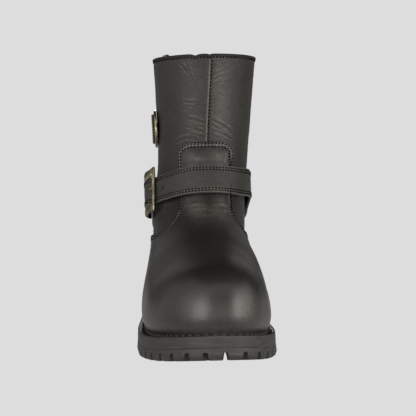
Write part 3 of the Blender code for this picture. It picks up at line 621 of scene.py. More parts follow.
def makeLeather(name, look):
    material, tree, shader = newMaterial(name, look["roughness"])
    drift = useGroup(tree, driftGroup, Scale=look["driftScale"], Contrast=2.2)["Mask"]
    colour = blendColour(tree, drift, opaque(look["deep"]), opaque(look["worn"]))
    mottle = useGroup(tree, driftGroup, Scale=240.0, Contrast=2.4)["Mask"]
    uneven = maths(tree, "MULTIPLY_ADD", mottle, 0.9 * look["wearAndSheen"], 0.55 * look["wearAndSheen"])
    # The pale blend is real wear on crease flanks and painted highlights along ridges and where the lamps
    # reflect
    paleWearAndSheen = maths(tree, "MULTIPLY", maskOf(tree, "wearAndSheen"), uneven)
    colour = blendColour(tree, paleWearAndSheen, colour, opaque(look["paleWearAndSheen"]))
    # The shade mask blends to painted shade: crease troughs, edge margins, the strap's hole and the seam's
    # groove
    colour = blendColour(tree, maskOf(tree, "shade"), colour, opaque(look["paintedShade"]))
    dust = {"Scale": look["dustScale"], "Size": look["dustSize"], "Share": look["dust"]}
    specks = useGroup(tree, dustGroup, **dust)["Mask"]
    colour = blendColour(tree, specks, colour, opaque(look["speck"]))
    tree.links.new(colour, shader.inputs["Base Color"])
    smoothest = look["roughness"] - look["roughDrift"] / 2
    rough = maths(tree, "MULTIPLY_ADD", drift, look["roughDrift"], smoothest)
    tree.links.new(rough, shader.inputs["Roughness"])
    shader.inputs["Coat Weight"].default_value = look["coat"]
    shader.inputs["Coat Roughness"].default_value = look["coatRoughness"]
    shader.inputs["Specular IOR Level"].default_value = look["specular"]
    grain = useGroup(tree, grainGroup, Cells=look["cells"], Pores=0.35)["Height"]
    furrows = useGroup(tree, wrinkleGroup, Scale=look["wrinkleScale"], Width=0.06)["Height"]
    height = maths(tree, "MULTIPLY_ADD", furrows, look["wrinkle"], grain)
    addBump(tree, shader, height, look["grain"], 0.0004)
    return material


leatherLook = {
    "deep": (0.010, 0.010, 0.0088),
    "worn": (0.021, 0.020, 0.0175),
    "driftScale": 26.0,
    "paleWearAndSheen": (0.13, 0.125, 0.112),
    "wearAndSheen": 0.8,
    "paintedShade": (0.004, 0.004, 0.004),
    "roughness": 0.48,
    "roughDrift": 0.10,
    "coat": 0.05,
    "coatRoughness": 0.4,
    "specular": 0.42,
    "cells": 950.0,
    "grain": 0.22,
    "wrinkle": 4.0,
    "wrinkleScale": 95.0,
    "speck": (0.19, 0.185, 0.17),
    "dust": 0.0,
    "dustScale": 110.0,
    "dustSize": 0.045,
}
shaftLeather = makeLeather("shaft_leather", leatherLook)
vampLeather = makeLeather("vamp_leather", dict(
    leatherLook, deep=(0.008, 0.008, 0.0072), worn=(0.015, 0.0147, 0.0132), driftScale=18.0,
    roughness=0.40, coat=0.25, coatRoughness=0.30, specular=0.5, cells=1100.0, grain=0.12,
    wrinkle=1.6, wrinkleScale=130.0, dust=0.22, dustScale=75.0,
))
strapLeather = makeLeather("strap_leather", dict(
    leatherLook, deep=(0.020, 0.0195, 0.0178), worn=(0.033, 0.032, 0.029),
    roughness=0.5, grain=0.18, wrinkle=2.6,
))
trimLeather = makeLeather("trim_leather", dict(
    leatherLook, deep=(0.006, 0.0065, 0.0065), worn=(0.012, 0.012, 0.0115),
    roughness=0.6, coat=0.0, specular=0.3, grain=0.12, wrinkle=0.3,
))


def makeThread(name, colour, roughness):
    material, tree, shader = newMaterial(name, roughness)
    fibre = addNode(tree, "TexNoise", Vector=placeOn(tree), Scale=3500.0, Detail=2.0)
    tone = blendColour(tree, fibre.outputs["Fac"], opaque(colour, 0.6), opaque(colour, 1.5))
    tree.links.new(tone, shader.inputs["Base Color"])
    addBump(tree, shader, fibre.outputs["Fac"], 0.5, 0.0002)
    shader.inputs["Specular IOR Level"].default_value = 0.12
    return material


blackThread = makeThread("black_thread", (0.003, 0.003, 0.003), 0.8)
weltThread = makeThread("welt_thread", (0.040, 0.039, 0.037), 0.95)


rubberLook = {
    "deep": (0.019, 0.019, 0.0185),
    "pale": (0.033, 0.0325, 0.0315),
    "streak": (0.10, 0.098, 0.093),
    "streakShare": 0.55,
    "roughness": 0.62,
}


def makeRubber(look):
    material, tree, shader = newMaterial("sole_rubber", look["roughness"])
    streaks = useGroup(tree, streakGroup, Stretch=12.0, Scale=42.0)
    drift = useGroup(tree, driftGroup, Scale=40.0, Contrast=2.0)["Mask"]
    colour = blendColour(tree, drift, opaque(look["deep"]), opaque(look["pale"]))
    streaked = maths(tree, "MULTIPLY", streaks["Mask"], look["streakShare"])
    colour = blendColour(tree, streaked, colour, opaque(look["streak"]))
    tree.links.new(colour, shader.inputs["Base Color"])
    tree.links.new(maths(tree, "MULTIPLY_ADD", streaks["Mask"], 0.12, 0.58), shader.inputs["Roughness"])
    addBump(tree, shader, streaks["Height"], 0.25, 0.0005)
    return material


brassLook = {
    "deep": (0.19, 0.165, 0.10),
    "bright": (0.55, 0.50, 0.37),
    "patinaAndShade": (0.03, 0.028, 0.02),
    "roughness": 0.34,
}


def makeBrass(look):
    material, tree, shader = newMaterial("antique_brass", look["roughness"], 1.0)
    drift = useGroup(tree, driftGroup, Scale=160.0, Contrast=2.6)["Mask"]
    colour = blendColour(tree, drift, opaque(look["deep"]), opaque(look["bright"]))
    # The shade mask blends to painted shade, partly patina in the concho's recesses
    colour = blendColour(tree, maskOf(tree, "shade"), colour, opaque(look["patinaAndShade"]))
    tree.links.new(colour, shader.inputs["Base Color"])
    tree.links.new(maths(tree, "MULTIPLY_ADD", drift, -0.16, 0.46), shader.inputs["Roughness"])
    hammered = addNode(tree, "TexNoise", Vector=placeOn(tree), Scale=700.0, Detail=3.0)
    addBump(tree, shader, hammered.outputs["Fac"], 0.12, 0.0004)
    return material


def makeCloth(name, colour, scale):  # woven tape
    material, tree, shader = newMaterial(name, 0.8)
    bands = {"bands_direction": "Z"}
    weave = addNode(tree, "TexWave", bands, Vector=placeOn(tree), Scale=scale, Distortion=0.6)
    tone = blendColour(tree, weave.outputs["Fac"], opaque(colour, 0.6), opaque(colour))
    tree.links.new(tone, shader.inputs["Base Color"])
    addBump(tree, shader, weave.outputs["Fac"], 0.5, 0.0003)
    return material


def makeLining(name, pale, deep):
    material, tree, shader = newMaterial(name, 0.7)
    drift = useGroup(tree, driftGroup, Scale=35.0, Contrast=2.0)["Mask"]
    tree.links.new(blendColour(tree, drift, opaque(deep), opaque(pale)), shader.inputs["Base Color"])
    grain = useGroup(tree, grainGroup, Cells=1500.0, Pores=0.6)["Height"]
    addBump(tree, shader, grain, 0.2, 0.0003)
    return material


soleRubber = makeRubber(rubberLook)
antiqueBrass = makeBrass(brassLook)
blackTape = makeCloth("black_tape", (0.02, 0.02, 0.02), 420.0)
yellowStripe = makeCloth("yellow_stripe", (0.72, 0.58, 0.10), 420.0)
liningLeather = makeLining("lining_leather", (0.30, 0.215, 0.145), (0.21, 0.145, 0.095))
insoleBoard = makeLining("insole_board", (0.13, 0.10, 0.075), (0.085, 0.066, 0.05))
print("materials:", len(bpy.data.materials))


# Upper: one wall from the feather line to the collar, leather outside and lining inside

upperLook = {
    "columns": 408,
    "lowRows": 44,
    "shaftRows": 150,
    "shaftFrom": 0.44,
    "liningRows": 46,
    "frontCluster": 0.4,
    "unevenness": (0.10, 26.0, 3),  # height, wavelength and seed
    "ripple": (0.035, 7.0, 5),
    "creaseRub": (0.3, 0.7),  # relief that shows in full, and how much
    # painted shade in the crease troughs: relief that shows in full, and how much
    "creaseShade": (0.3, 0.8),
}

# Creases on the shaft's front: from and to in x and z, bow, width and depth
shaftCreases = [
    (-16, 240, -3, 223, 1.2, 0.8, 0.22),
    (-10, 241, -5, 230, -0.6, 0.7, 0.20),
    (-14, 237, -8, 228, 0.8, 0.7, 0.16),
    (-17, 233, -2, 231, 0.7, 0.7, 0.14),
    (-14, 228, 2, 226, -0.6, 0.7, 0.12),
    (-13, 206, -1, 205, -0.8, 0.8, 0.40),
    (-12, 202, -3, 201, -0.5, 0.7, 0.22),
    (-14, 199, -5, 197, 0.6, 0.8, 0.15),
    (-10, 191, 6, 186, 0.9, 0.9, 0.30),
    (-9, 186, 5, 183, -0.7, 0.8, 0.22),
    (-13, 184, 6, 178, 1.0, 0.9, 0.30),
    (-7, 177, 6, 174, 0.6, 0.8, 0.20),
    (-20, 170, -3, 174, 1.6, 1.0, 0.26),
    (13, 227, 26, 232, 0.8, 0.8, 0.22),
    (13, 223, 25, 228, 0.7, 0.8, 0.24),
    (13, 219, 22, 222, 0.5, 0.7, 0.16),
    (14, 237, 21, 234, 0.4, 0.7, 0.10),
    (16, 213, 24, 208, 0.8, 1.0, 0.16),
    (10, 190, 30, 178, 1.2, 1.0, 0.34),
    (11, 186, 24, 178, -0.8, 0.8, 0.26),
    (12, 180, 30, 172, 1.0, 0.9, 0.30),
    (14, 175, 27, 170, 0.5, 0.8, 0.22),
]

# Painted highlights, pale bands where the lamps reflect on the shaft: x, z, reach across and up, amount
shaftSheen = [(19, 205, 9, 34, 0.24), (-8, 196, 10, 30, 0.07)]

# Waves in the collar's edge over the front: place in x, width and drop
collarWaves = [(-1.2, 2.8, 1.2), (11.3, 1.4, 0.7), (-30.0, 9.0, 0.4)]


def collarDrop(points):
    drop = np.zeros(points.shape[:-1])
    for middle, width, depth in collarWaves:
        drop += depth * bump(points[..., 0] - middle, width)
    near = smooth((points[..., 2] - last["collar"] + 16) / 14)
    return drop * near * smooth((-60 - points[..., 1]) / 8)


def footDrop(up):  # the last row goes down into the welt's groove
    return 0.9 * np.clip(1 - up / 0.02, 0, 1)


def makeUpper():
    look = upperLook
    even = np.linspace(-1, 1, look["columns"], endpoint=False)
    around = (1 - look["frontCluster"]) * even + look["frontCluster"] * even**3
    up = np.concatenate((
        np.linspace(0, look["shaftFrom"], look["lowRows"], endpoint=False),
        np.linspace(look["shaftFrom"], 1, look["shaftRows"]),
    ))
    aroundGrid, upGrid = np.meshgrid(around, up)
    points, normals = upperPoint(aroundGrid, upGrid), upperNormal(aroundGrid, upGrid)
    creases = creaseRelief(points, shaftCreases)
    relief = creases + unevenness(points, *look["unevenness"])
    relief += unevenness(points * (1, 1, 1.8), *look["ripple"])
    outer = points + normals * relief[..., None]
    keep = np.linspace(len(up) - 1, 0, look["liningRows"]).astype(int)
    inner = points[keep] - normals[keep] * last["wall"]
    wall = np.concatenate((outer, inner))
    wall[..., 2] -= collarDrop(wall) + footDrop(np.concatenate((upGrid, upGrid[keep])))
    # Paler crease flanks for wear, painted highlights in the pale patches, and painted shade in the troughs
    wearAndSheen = creaseMask(creases, *look["creaseRub"]) + sheenAndWearPatches(points, shaftSheen)
    shade = creaseMask(-creases, *look["creaseShade"])
    nothing = np.zeros(inner.shape[:-1])
    masks = {"wearAndSheen": np.concatenate((wearAndSheen, nothing)), "shade": np.concatenate((shade, nothing))}
    count = len(wall)
    faces = gridFaces(count, look["columns"], True, True)
    faceRow = np.repeat(np.arange(count), look["columns"])
    lined = ((faceRow >= len(up)) & (faceRow < count - 1)).astype(int)
    piece = addPiece("upper", wall, faces, [shaftLeather, liningLeather], masks, lined)
    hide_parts("upper")
    return points[-1], normals[-1], points[-8]


collarRim, rimNormals, belowRim = makeUpper()
print("upper: made")


# Vamp: the front overlay with its instep tab, a rounded edge and two rows of stitches

vamp = {
    "over": 1.6,
    "under": 0.1,
    "edgeRound": 1.1,
    "columns": 380,
    "bodyRows": 84,
    "underRows": 14,
    "tabHalfWidth": 23.8,
    "tabTop": 169.0,
    "tabCorner": 12.0,
    "flare": rows(
        "z half",
        (138, 22.4), (124, 21.8), (113, 22.2), (107, 23.6), (102, 26.2), (97, 30.0), (92.5, 35.6),
    ),
    "side": rows("y z", (-100, 90.6), (-80, 89.6), (-60, 85), (-46, 74), (-38.5, 55), (-35, 35)),
    "edgeSteps": (0, 0.1, 0.3, 0.6, 1.0, 1.4, 1.8, 2.2, 2.6, 3.0, 3.4, 3.9, 4.5, 5.4, 6.6, 8.4, 11),
    "stitchRows": (1.9, 4.0),
    "stitchTrough": (0.35, 0.6),  # depth and width
    "tabPuff": 1.1,
    "unevenness": (0.16, 34.0, 8),
    "creaseRub": (0.25, 1.0),
    "creaseShade": (0.5, 0.5),
    "thread": {"pitch": 3.1, "length": 1.8, "radius": 0.84, "lift": 0.2, "sink": 0.25},
}

# Creases, and pale places as on the shaft: painted highlights on the toe and tab, and wear with painted light
# below the strap
vampCreases = [
    (-8, 149, 8, 151, 0.8, 0.8, 0.20),
    (-4, 152, 12, 150, -0.6, 0.8, 0.18),
    (12, 150, 26, 152, -0.7, 0.8, 0.18),
    (14, 154, 24, 156, 0.5, 0.8, 0.14),
    (-13, 115, 4, 117.5, 1.4, 0.9, 0.10),
    (-11, 111.5, 7, 113, 1.2, 0.9, 0.11),
    (9, 117, 26, 114, 1.2, 0.9, 0.10),
    (12, 113, 28, 109, 1.3, 0.9, 0.11),
    (-6, 107.5, 12, 108.5, 1.0, 1.0, 0.08),
]
vampSheenAndWear = [
    (-5, 114, 9, 11, 0.5), (18.5, 112, 8, 12, 0.5), (7, 108, 14, 8, 0.2),
    (-6, 156, 6, 6, 0.4), (15, 156, 7, 6, 0.4),
    (-3, 43, 9, 9, 0.14), (30, 45, 7, 10, 0.5), (8, 30, 46, 5, 0.3),
]


def behindFront(half, z):
    low, high = float(np.interp(z, ridgeLine[1], ridgeLine[0])), last["axis"]
    for _ in range(40):
        middle = (low + high) / 2
        lateral, medial, _ = edgesAt(np.array(middle), np.array(z))
        low, high = (middle, high) if float(medial - lateral) < 2 * half else (low, middle)
    return low


def vampEdge():  # half of the edge in side view, from the tab's top middle to the sole
    corner, half, top = vamp["tabCorner"], vamp["tabHalfWidth"], vamp["tabTop"]
    spans = [(reach, top) for reach in np.linspace(0.5, half - corner, 8)]
    for turn in np.radians(np.linspace(8, 90, 10)):
        spans.append((half - corner * (1 - math.sin(turn)), top - corner * (1 - math.cos(turn))))
    flareZ, flareHalf = curveThrough(vamp["flare"], 24)
    spans += list(zip(flareHalf, flareZ))
    edge = [(float(np.interp(top, ridgeLine[1], ridgeLine[0])), top)]
    edge += [(behindFront(reach, z), z) for reach, z in spans]
    sideY, sideZ = curveThrough(vamp["side"], 30)
    return np.array(edge + list(zip(sideY, sideZ)))


def vampGrid():  # rows at set steps from the edge, then evenly down to the sole
    around, up = upAndAround(*vampEdge().T)
    around, up = np.concatenate((-around[:0:-1], around)), np.concatenate((up[:0:-1], up))
    line = upperPoint(around, up)
    run = runOf(line)
    even = np.linspace(0, run[-1], vamp["columns"])
    edgeAround, edgeUp = np.interp(even, run, around), np.interp(even, run, up)
    footAround = np.linspace(around[0], around[-1], vamp["columns"])
    share = np.linspace(1, 0, 70)[:, None]
    fan = upperPoint(footAround + (edgeAround - footAround) * share, edgeUp * share)
    spans = np.linalg.norm(np.diff(fan, axis=0), axis=2)
    away = np.concatenate((np.zeros((1, vamp["columns"])), np.cumsum(spans, axis=0)))
    steps = np.array(vamp["edgeSteps"])
    shares = []
    for column in range(vamp["columns"]):
        length = away[-1, column]
        near = steps * min(1, 0.6 * length / steps[-1])
        wanted = np.concatenate((near, np.linspace(near[-1], length, vamp["bodyRows"] + 1)[1:]))
        shares.append(np.interp(wanted, away[:, column], share[:, 0]))
    shares = np.array(shares).T
    edge = upperPoint(edgeAround, edgeUp)
    return footAround + (edgeAround - footAround) * shares, edgeUp * shares, edge


def distanceToLine(points, line):
    fineCount, chunk = 1400, 4000
    flat = points.reshape(-1, 3)
    run = runOf(line)
    fine = alongLine(line, run, np.linspace(0, run[-1], fineCount))
    found = []
    for start in range(0, len(flat), chunk):
        gap = flat[start:start + chunk, None] - fine[None]
        found.append(np.sqrt((gap**2).sum(-1).min(1)))
    return np.concatenate(found).reshape(points.shape[:-1])


def pathAtDepth(values, fromEdge, depth, nearRows=26):  # a line at an even distance inside the edge
    line = []
    for column in range(fromEdge.shape[1]):
        away = np.maximum.accumulate(fromEdge[:nearRows, column])
        if away[-1] > depth + 1:
            line.append([np.interp(depth, away, values[:nearRows, column, i]) for i in range(3)])
    return np.array(line)


def makeVamp():
    gridAround, gridUp, edge = vampGrid()
    base, normals = upperPoint(gridAround, gridUp), upperNormal(gridAround, gridUp)
    fromEdge = distanceToLine(base, edge)
    rounding = np.sqrt(1 - (1 - np.clip(fromEdge / vamp["edgeRound"], 0, 1)) ** 2)
    creases = creaseRelief(base, vampCreases)
    relief = creases + unevenness(base, *vamp["unevenness"]) * smooth(fromEdge / 12)
    depth, width = vamp["stitchTrough"]
    for row in vamp["stitchRows"]:
        relief -= depth * bump(fromEdge - row, width)
    relief += vamp["tabPuff"] * smooth((fromEdge - 3.5) / 9) * smooth((base[..., 2] - 140) / 10)
    out = vamp["under"] + (vamp["over"] + relief) * rounding
    top = base + normals * out[..., None]
    keep = np.linspace(len(base) - 1, 0, vamp["underRows"]).astype(int)
    bottom = base[keep] + normals[keep] * vamp["under"]
    wall = np.concatenate((top, bottom))
    wall[..., 2] -= footDrop(np.concatenate((gridUp, gridUp[keep])))
    onSide = smooth((126 - base[..., 2]) / 14)  # the painted highlight on the ridge between the stitch rows is broader there
    # Painted highlight on the ridge between the stitch rows, plus crease-flank wear and the pale patches
    wearAndSheen = (0.85 + 0.4 * onSide) * bump(fromEdge - np.mean(vamp["stitchRows"]), 0.75 + 0.45 * onSide)
    wearAndSheen = np.clip(wearAndSheen + creaseMask(creases, *vamp["creaseRub"]) + sheenAndWearPatches(base, vampSheenAndWear), 0, 1)
    # Painted shadow along the overlay's edge, and painted shade in the crease troughs
    shade = 0.9 * smooth((1.5 - fromEdge) / 0.6) + creaseMask(-creases, *vamp["creaseShade"])
    nothing = np.zeros(bottom.shape[:-1])
    count, columns = wall.shape[:2]
    faces = gridFaces(count, columns, True, False)
    faces += [[row * columns + end for row in range(count)] for end in (0, columns - 1)]
    masks = {"wearAndSheen": np.concatenate((wearAndSheen, nothing)), "shade": np.concatenate((np.clip(shade, 0, 1), nothing))}
    piece = addPiece("vamp", wall, faces, [vampLeather], masks)
    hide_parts("vamp")
    runs = []
    for row in vamp["stitchRows"]:
        runs.append((pathAtDepth(top, fromEdge, row), pathAtDepth(normals, fromEdge, row)))
    points, stitchFaces = stitchMesh(runs, vamp["thread"])
    addPiece("vamp_stitches", points, stitchFaces, [blackThread])


makeVamp()
print("vamp: made with stitches")


# Collar binding and its stitches

binding = {
    "thick": 0.7,
    "height": 1.3,
    "gap": 0.2,
    "stitchDown": 2.0,
    "thread": {"pitch": 2.9, "length": 1.7, "radius": 0.74, "lift": 0.2, "sink": 0.25},
}


def makeBinding():
    outward = unit(rimNormals * (1, 1, 0))
    perHeight = (belowRim - collarRim) / (collarRim - belowRim)[:, 2:]
    outer, inner = binding["gap"], -last["wall"] - binding["gap"]
    thick, height = binding["thick"], binding["height"]
    middle, reach = (outer + inner) / 2, (outer - inner) / 2 + thick
    arch = [(middle + reach * math.cos(t), binding["gap"] + thick * 1.5 * math.sin(t))
            for t in np.radians(np.linspace(0, 180, 13))]
    profile = [(outer, -height), (outer + thick * 0.7, -height), (outer + thick, -height + 0.35)]
    profile += [(outer + thick, -height * 0.5)] + arch
    profile += [(inner - thick, -height + 0.3), (inner, -height)]
    profile += [(inner, binding["gap"]), (outer, binding["gap"])]
    sections = []
    for out, rise in profile:
        sections.append(collarRim + outward * out + perHeight * max(-rise, 0) + (0, 0, max(rise, 0)))
    sections = np.swapaxes(sections, 0, 1)
    sections[..., 2] -= collarDrop(sections)
    plain = np.zeros(sections.shape[:-1])
    piece = addPiece("collar_binding", sections, tubeFaces(*sections.shape[:2], True), [trimLeather],
                     {"wearAndSheen": plain, "shade": plain})
    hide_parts("collar_binding")
    path = collarRim + outward * 0.05 + perHeight * binding["stitchDown"]
    path[:, 2] -= collarDrop(path)
    path = np.concatenate((path, path[:1]))
    points, faces = stitchMesh([(path, np.concatenate((outward, outward[:1])))], binding["thread"])
    addPiece("collar_stitches", points, faces, [blackThread])


makeBinding()

# Front seam: one panel's edge laps over the other, stitched in the groove beside it

seam = {
    "from": 168.6,
    "to": 241.0,
    "profile": rows(
        "aside rise",
        (-2.6, 0.0), (-1.8, 0.2), (-1.1, 0.55), (-0.6, 0.85), (-0.1, 0.9), (0.25, 0.6),
        (0.4, 0.05), (1.3, 0.0), (2.0, 0.1), (2.5, 0.2), (3.0, 0.12), (3.5, 0.0),
    ),
    "drift": (-0.9, 2.2),  # aside at the lower and the upper end
    "groove": 1.0,
    "under": 0.6,
    "lengthSteps": 90,
    "profileSteps": 40,
    "thread": {"pitch": 3.0, "length": 1.8, "radius": 0.72, "lift": 0.3, "sink": 0.1},
}


def makeSeam():
    count, fineCount, profile = seam["lengthSteps"], seam["profileSteps"], seam["profile"]
    shares = np.linspace(0.5, 1, 200)
    line = upperPoint(np.zeros(len(shares)), shares)
    up = np.interp(np.linspace(seam["from"], seam["to"], count), line[:, 2], shares)
    middle, outward = upperPoint(np.zeros(count), up), upperNormal(np.zeros(count), up)
    forward = unit(np.gradient(middle, axis=0))
    aside = np.cross(forward, outward)
    aside *= np.sign(aside[:1, :1])
    middle = middle + aside * np.linspace(*seam["drift"], count)[:, None]
    fine = np.linspace(profile["aside"][0], profile["aside"][-1], fineCount)
    rise = np.interp(fine, profile["aside"], profile["rise"])
    top = middle[:, None] + aside[:, None] * fine[:, None] + outward[:, None] * (rise - fine**2 / 90)[:, None]
    bottom = middle[:, None] + aside[:, None] * fine[[-1, 0], None] - outward[:, None] * seam["under"]
    sections = np.concatenate((top, bottom), axis=1)
    # Painted highlight on the lapped edge's ridge, and painted shade in the groove beside it
    wearAndSheen = np.zeros(sections.shape[:-1])
    wearAndSheen[:, :fineCount] = bump(fine + 0.3, 0.8)
    shade = np.zeros(sections.shape[:-1])
    shade[:, :fineCount] = 0.85 * bump(fine - 0.9, 0.7)
    piece = addPiece("front_seam", sections, tubeFaces(*sections.shape[:2]), [shaftLeather],
                     {"wearAndSheen": wearAndSheen, "shade": shade})
    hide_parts("front_seam")
    path = middle + aside * seam["groove"]
    points, faces = stitchMesh([(path, outward)], seam["thread"])
    addPiece("seam_stitches", points, faces, [blackThread])


makeSeam()

# Pull loop: a folded tape inside the collar with a coloured stripe

pull = {
    "angle": -66.0,
    "width": 13.0,
    "bend": 55.0,  # radius of the wall it lies on
    "rise": 3.2,
    "length": 36.0,
    "thick": 2.4,
    "inset": 4.4,
    "columns": 15,
    "stripe": 2,  # columns on each side of the middle
}


def makePullLoop():
    halfAngle = math.degrees(pull["width"] / 2 / pull["bend"])
    angles = np.linspace(pull["angle"] - halfAngle, pull["angle"] + halfAngle, pull["columns"])
    low, top = last["collar"] - pull["length"], last["collar"] + pull["rise"] - pull["thick"] / 2
    profile = [(0, z) for z in np.linspace(low, top, 9)]
    for turn in np.radians(np.linspace(0, 180, 9)[1:-1]):
        profile.append((-pull["thick"] / 2 * (1 - math.cos(turn)), top + pull["thick"] / 2 * math.sin(turn)))
    profile += [(-pull["thick"], z) for z in np.linspace(top, low, 9)]
    sections = []
    for angle in angles:
        wall = [shaftPoint(angle, min(z, last["collar"]), -pull["inset"] + out) for out, z in profile]
        sections.append([point + (0, 0, max(z - last["collar"], 0)) for point, (_, z) in zip(wall, profile)])
    sections = np.array(sections)
    faces = tubeFaces(*sections.shape[:2])
    perColumn = sections.shape[1]
    middle = pull["columns"] // 2
    slots = []
    for face in faces:
        fromMiddle = abs(face[0] // perColumn - middle + 0.5)
        slots.append(int(len(face) == 4 and fromMiddle < pull["stripe"]))
    piece = addPiece("pull_loop", sections, faces, [blackTape, yellowStripe], None, slots)
    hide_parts("pull_loop")


makePullLoop()
print("collar, seam and pull loop: made")


# Strap, in its own coordinates: along it from the front, across it, and out from the upper

strap = {
    "width": 24.0,
    "wider": (1.8, 36.0),  # over the instep: how much, and how far along
    "thick": 2.6,
    "edgeRound": 0.9,
    "nose": -52.0,
    "tail": -118.0,
    "end": 126.0,
    "tip": 13.0,
    "stitchRows": (2.1, 4.0),
    "stitchTrough": (0.3, 0.5),
    "hole": (-38.5, -0.6, 1.3),  # along, across and radius
    "holeDepth": 2.3,
    "crown": 0.18,
    "unevenness": (0.07, 16.0, 12),
    "acrossSteps": 72,
    "path": rows(
        "angle middle lean",
        (-165, 94, 0),
        (-130, 101.5, 0.04),
        (-100, 114, 0.10),
        (-75, 121.8, 0.12),
        (-58, 124.6, 0.12),
        (-44, 126.6, 0.12),
        (-20, 131, 0.13),
        (0, 134, 0.15),
        (40, 133.2, 0.06),
        (70, 130, -0.10),
        (95, 121, -0.05),
        (120, 112, -0.03),
        (165, 103, 0),
    ),
    "gap": rows(
        "along gap",
        (-124, 2.6),
        (-102, 2.8),
        (-92, 5.6),
        (-82, 6.6),
        (-72, 6.6),
        (-66, 6.2),
        (-62, 4.6),
        (-57, 2.7),
        (-52, 2.5),
        (-30, 3.0),
        (-20, 4.0),
        (0, 4.4),
        (22, 3.8),
        (40, 3.1),
        (66, 2.8),
        (84, 1.9),
        (104, 0.9),
        (130, 0.5),
    ),
    "thread": {"pitch": 2.9, "length": 1.6, "radius": 0.76, "lift": 0.2, "sink": 0.25},
}


def makeStrapRun():
    angle = np.linspace(-165, 165, 166)
    path, half = strap["path"], strap["width"] / 2
    middle, tilt = follow(path, "angle", "middle", angle), follow(path, "angle", "lean", angle)
    top, bottom = shaftPoint(angle, middle + half), shaftPoint(angle, middle - half)
    points = (top + bottom) / 2
    forward = unit(np.gradient(points, axis=0))
    across = top - bottom
    across = unit(across - forward * np.sum(across * forward, 1, keepdims=True))
    outward = np.cross(forward, across)
    bulge = np.sum((shaftPoint(angle, middle) - points) * outward, 1, keepdims=True)
    points = points + outward * np.maximum(bulge, 0)
    across = across + tilt[:, None] * outward
    run = runOf(points)
    return run - np.interp(0, angle, run), points, across, outward


strapRun = makeStrapRun()


def strapPlace(along, across, out):
    along, across, out = np.broadcast_arrays(along, across, out)
    base, sideways, away = (alongLine(values, strapRun[0], along) for values in strapRun[1:])
    return base + sideways * across[..., None] + unit(away) * out[..., None]


def strapGap(along):
    return follow(strap["gap"], "along", "gap", along)


def strapHalf(along):
    more, reach = strap["wider"]
    return strap["width"] / 2 + more / 2 * bump(along, reach)


def makeStrap():
    thick, corner = strap["thick"], strap["edgeRound"]
    holeAt, holeAcross, holeRadius = strap["hole"]
    along = np.concatenate((
        strap["tail"] + strap["tip"] * (1 - np.cos(np.linspace(0.06, 0.5, 16) * np.pi)),
        np.arange(strap["tail"] + strap["tip"] + 1, strap["nose"] - 16, 1.2),
        np.arange(strap["nose"] - 16, holeAt - 3, 0.8),
        np.arange(holeAt - 3, holeAt + 3, 0.35),
        np.arange(holeAt + 3.2, strap["end"], 1.1),
    ))
    tip = np.clip((along - strap["tail"]) / strap["tip"], 0, 1)
    half = strapHalf(along)[:, None]
    wide = half[:, 0] * np.sqrt(np.maximum(1 - (1 - tip) ** 2, 0.02))
    turn = np.radians(np.linspace(0, 90, 5))
    side = 1 - (2 * corner / strap["width"]) * (1 - np.sin(turn))
    flat = np.linspace(-side[0], side[0], strap["acrossSteps"])
    under = flat[::-1][1:-1:6]
    shares = np.concatenate((-side[::-1], flat[1:-1], side, side[::-1], under, -side))
    drop = corner * (1 - np.cos(turn))
    rises = np.concatenate((
        thick - drop[::-1], np.full(len(flat) - 2, thick), thick - drop,
        drop[::-1], np.zeros(len(under)), drop,
    ))
    across, rise = wide[:, None] * shares, np.broadcast_to(rises, (len(along), len(rises))).copy()
    onTop = rises > thick * 0.6
    fromEdge = wide[:, None] - np.abs(across)
    depth, width = strap["stitchTrough"]
    relief = sum(-depth * bump(fromEdge - row, width) for row in strap["stitchRows"])
    relief = relief + strap["crown"] * (1 - (across / half) ** 2)
    alongGrid = np.broadcast_to(along[:, None], across.shape)
    relief += unevenness(np.stack((alongGrid, across, across * 0), -1), *strap["unevenness"])
    toHole = np.hypot(alongGrid - holeAt, across - holeAcross)
    hole = np.clip((holeRadius + 0.2 - toHole) / holeRadius, 0, 1) ** 0.6
    rise += np.where(onTop, relief - strap["holeDepth"] * hole, 0)
    sections = strapPlace(alongGrid, across, strapGap(along)[:, None] + rise)
    # Painted shade in the hole, whose faces also take the black thread as painted shade
    shade = smooth((holeRadius + 0.7 - toHole) / 0.6) * onTop
    # Painted highlights: between the stitch rows, along the edge, and a broad pale area over the strap's
    # front
    wearAndSheen = 0.5 * bump(fromEdge - np.mean(strap["stitchRows"]), 0.75) + 0.45 * bump(fromEdge - 0.8, 0.8)
    wearAndSheen = np.maximum(wearAndSheen, 0.14 * bump(alongGrid + 4, 26)) * onTop
    faces = tubeFaces(*sections.shape[:2])
    inHole = ((toHole < holeRadius) & onTop).ravel()
    slots = [int(len(face) == 4 and inHole[face].all()) for face in faces]
    piece = addPiece("strap", sections, faces, [strapLeather, blackThread],
                     {"wearAndSheen": wearAndSheen, "shade": shade}, slots)
    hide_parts("strap")
    runs = []
    line = np.linspace(strap["tail"] + strap["tip"], strap["end"] - 2, 400)
    lift = strapGap(line) + thick
    outward = unit(strapPlace(line, 0, 10) - strapPlace(line, 0, 0))
    for row in strap["stitchRows"]:
        for edge in (-1, 1):
            runs.append((strapPlace(line, edge * (strapHalf(line) - row), lift), outward))
    points, faces = stitchMesh(runs, strap["thread"])
    addPiece("strap_stitches", points, faces, [blackThread])


makeStrap()

# Billet: the short strap that holds the buckle's back bar

billet = {"from": -78.1, "to": -148.0, "thick": 1.8, "gap": 0.4, "narrower": 2.0}


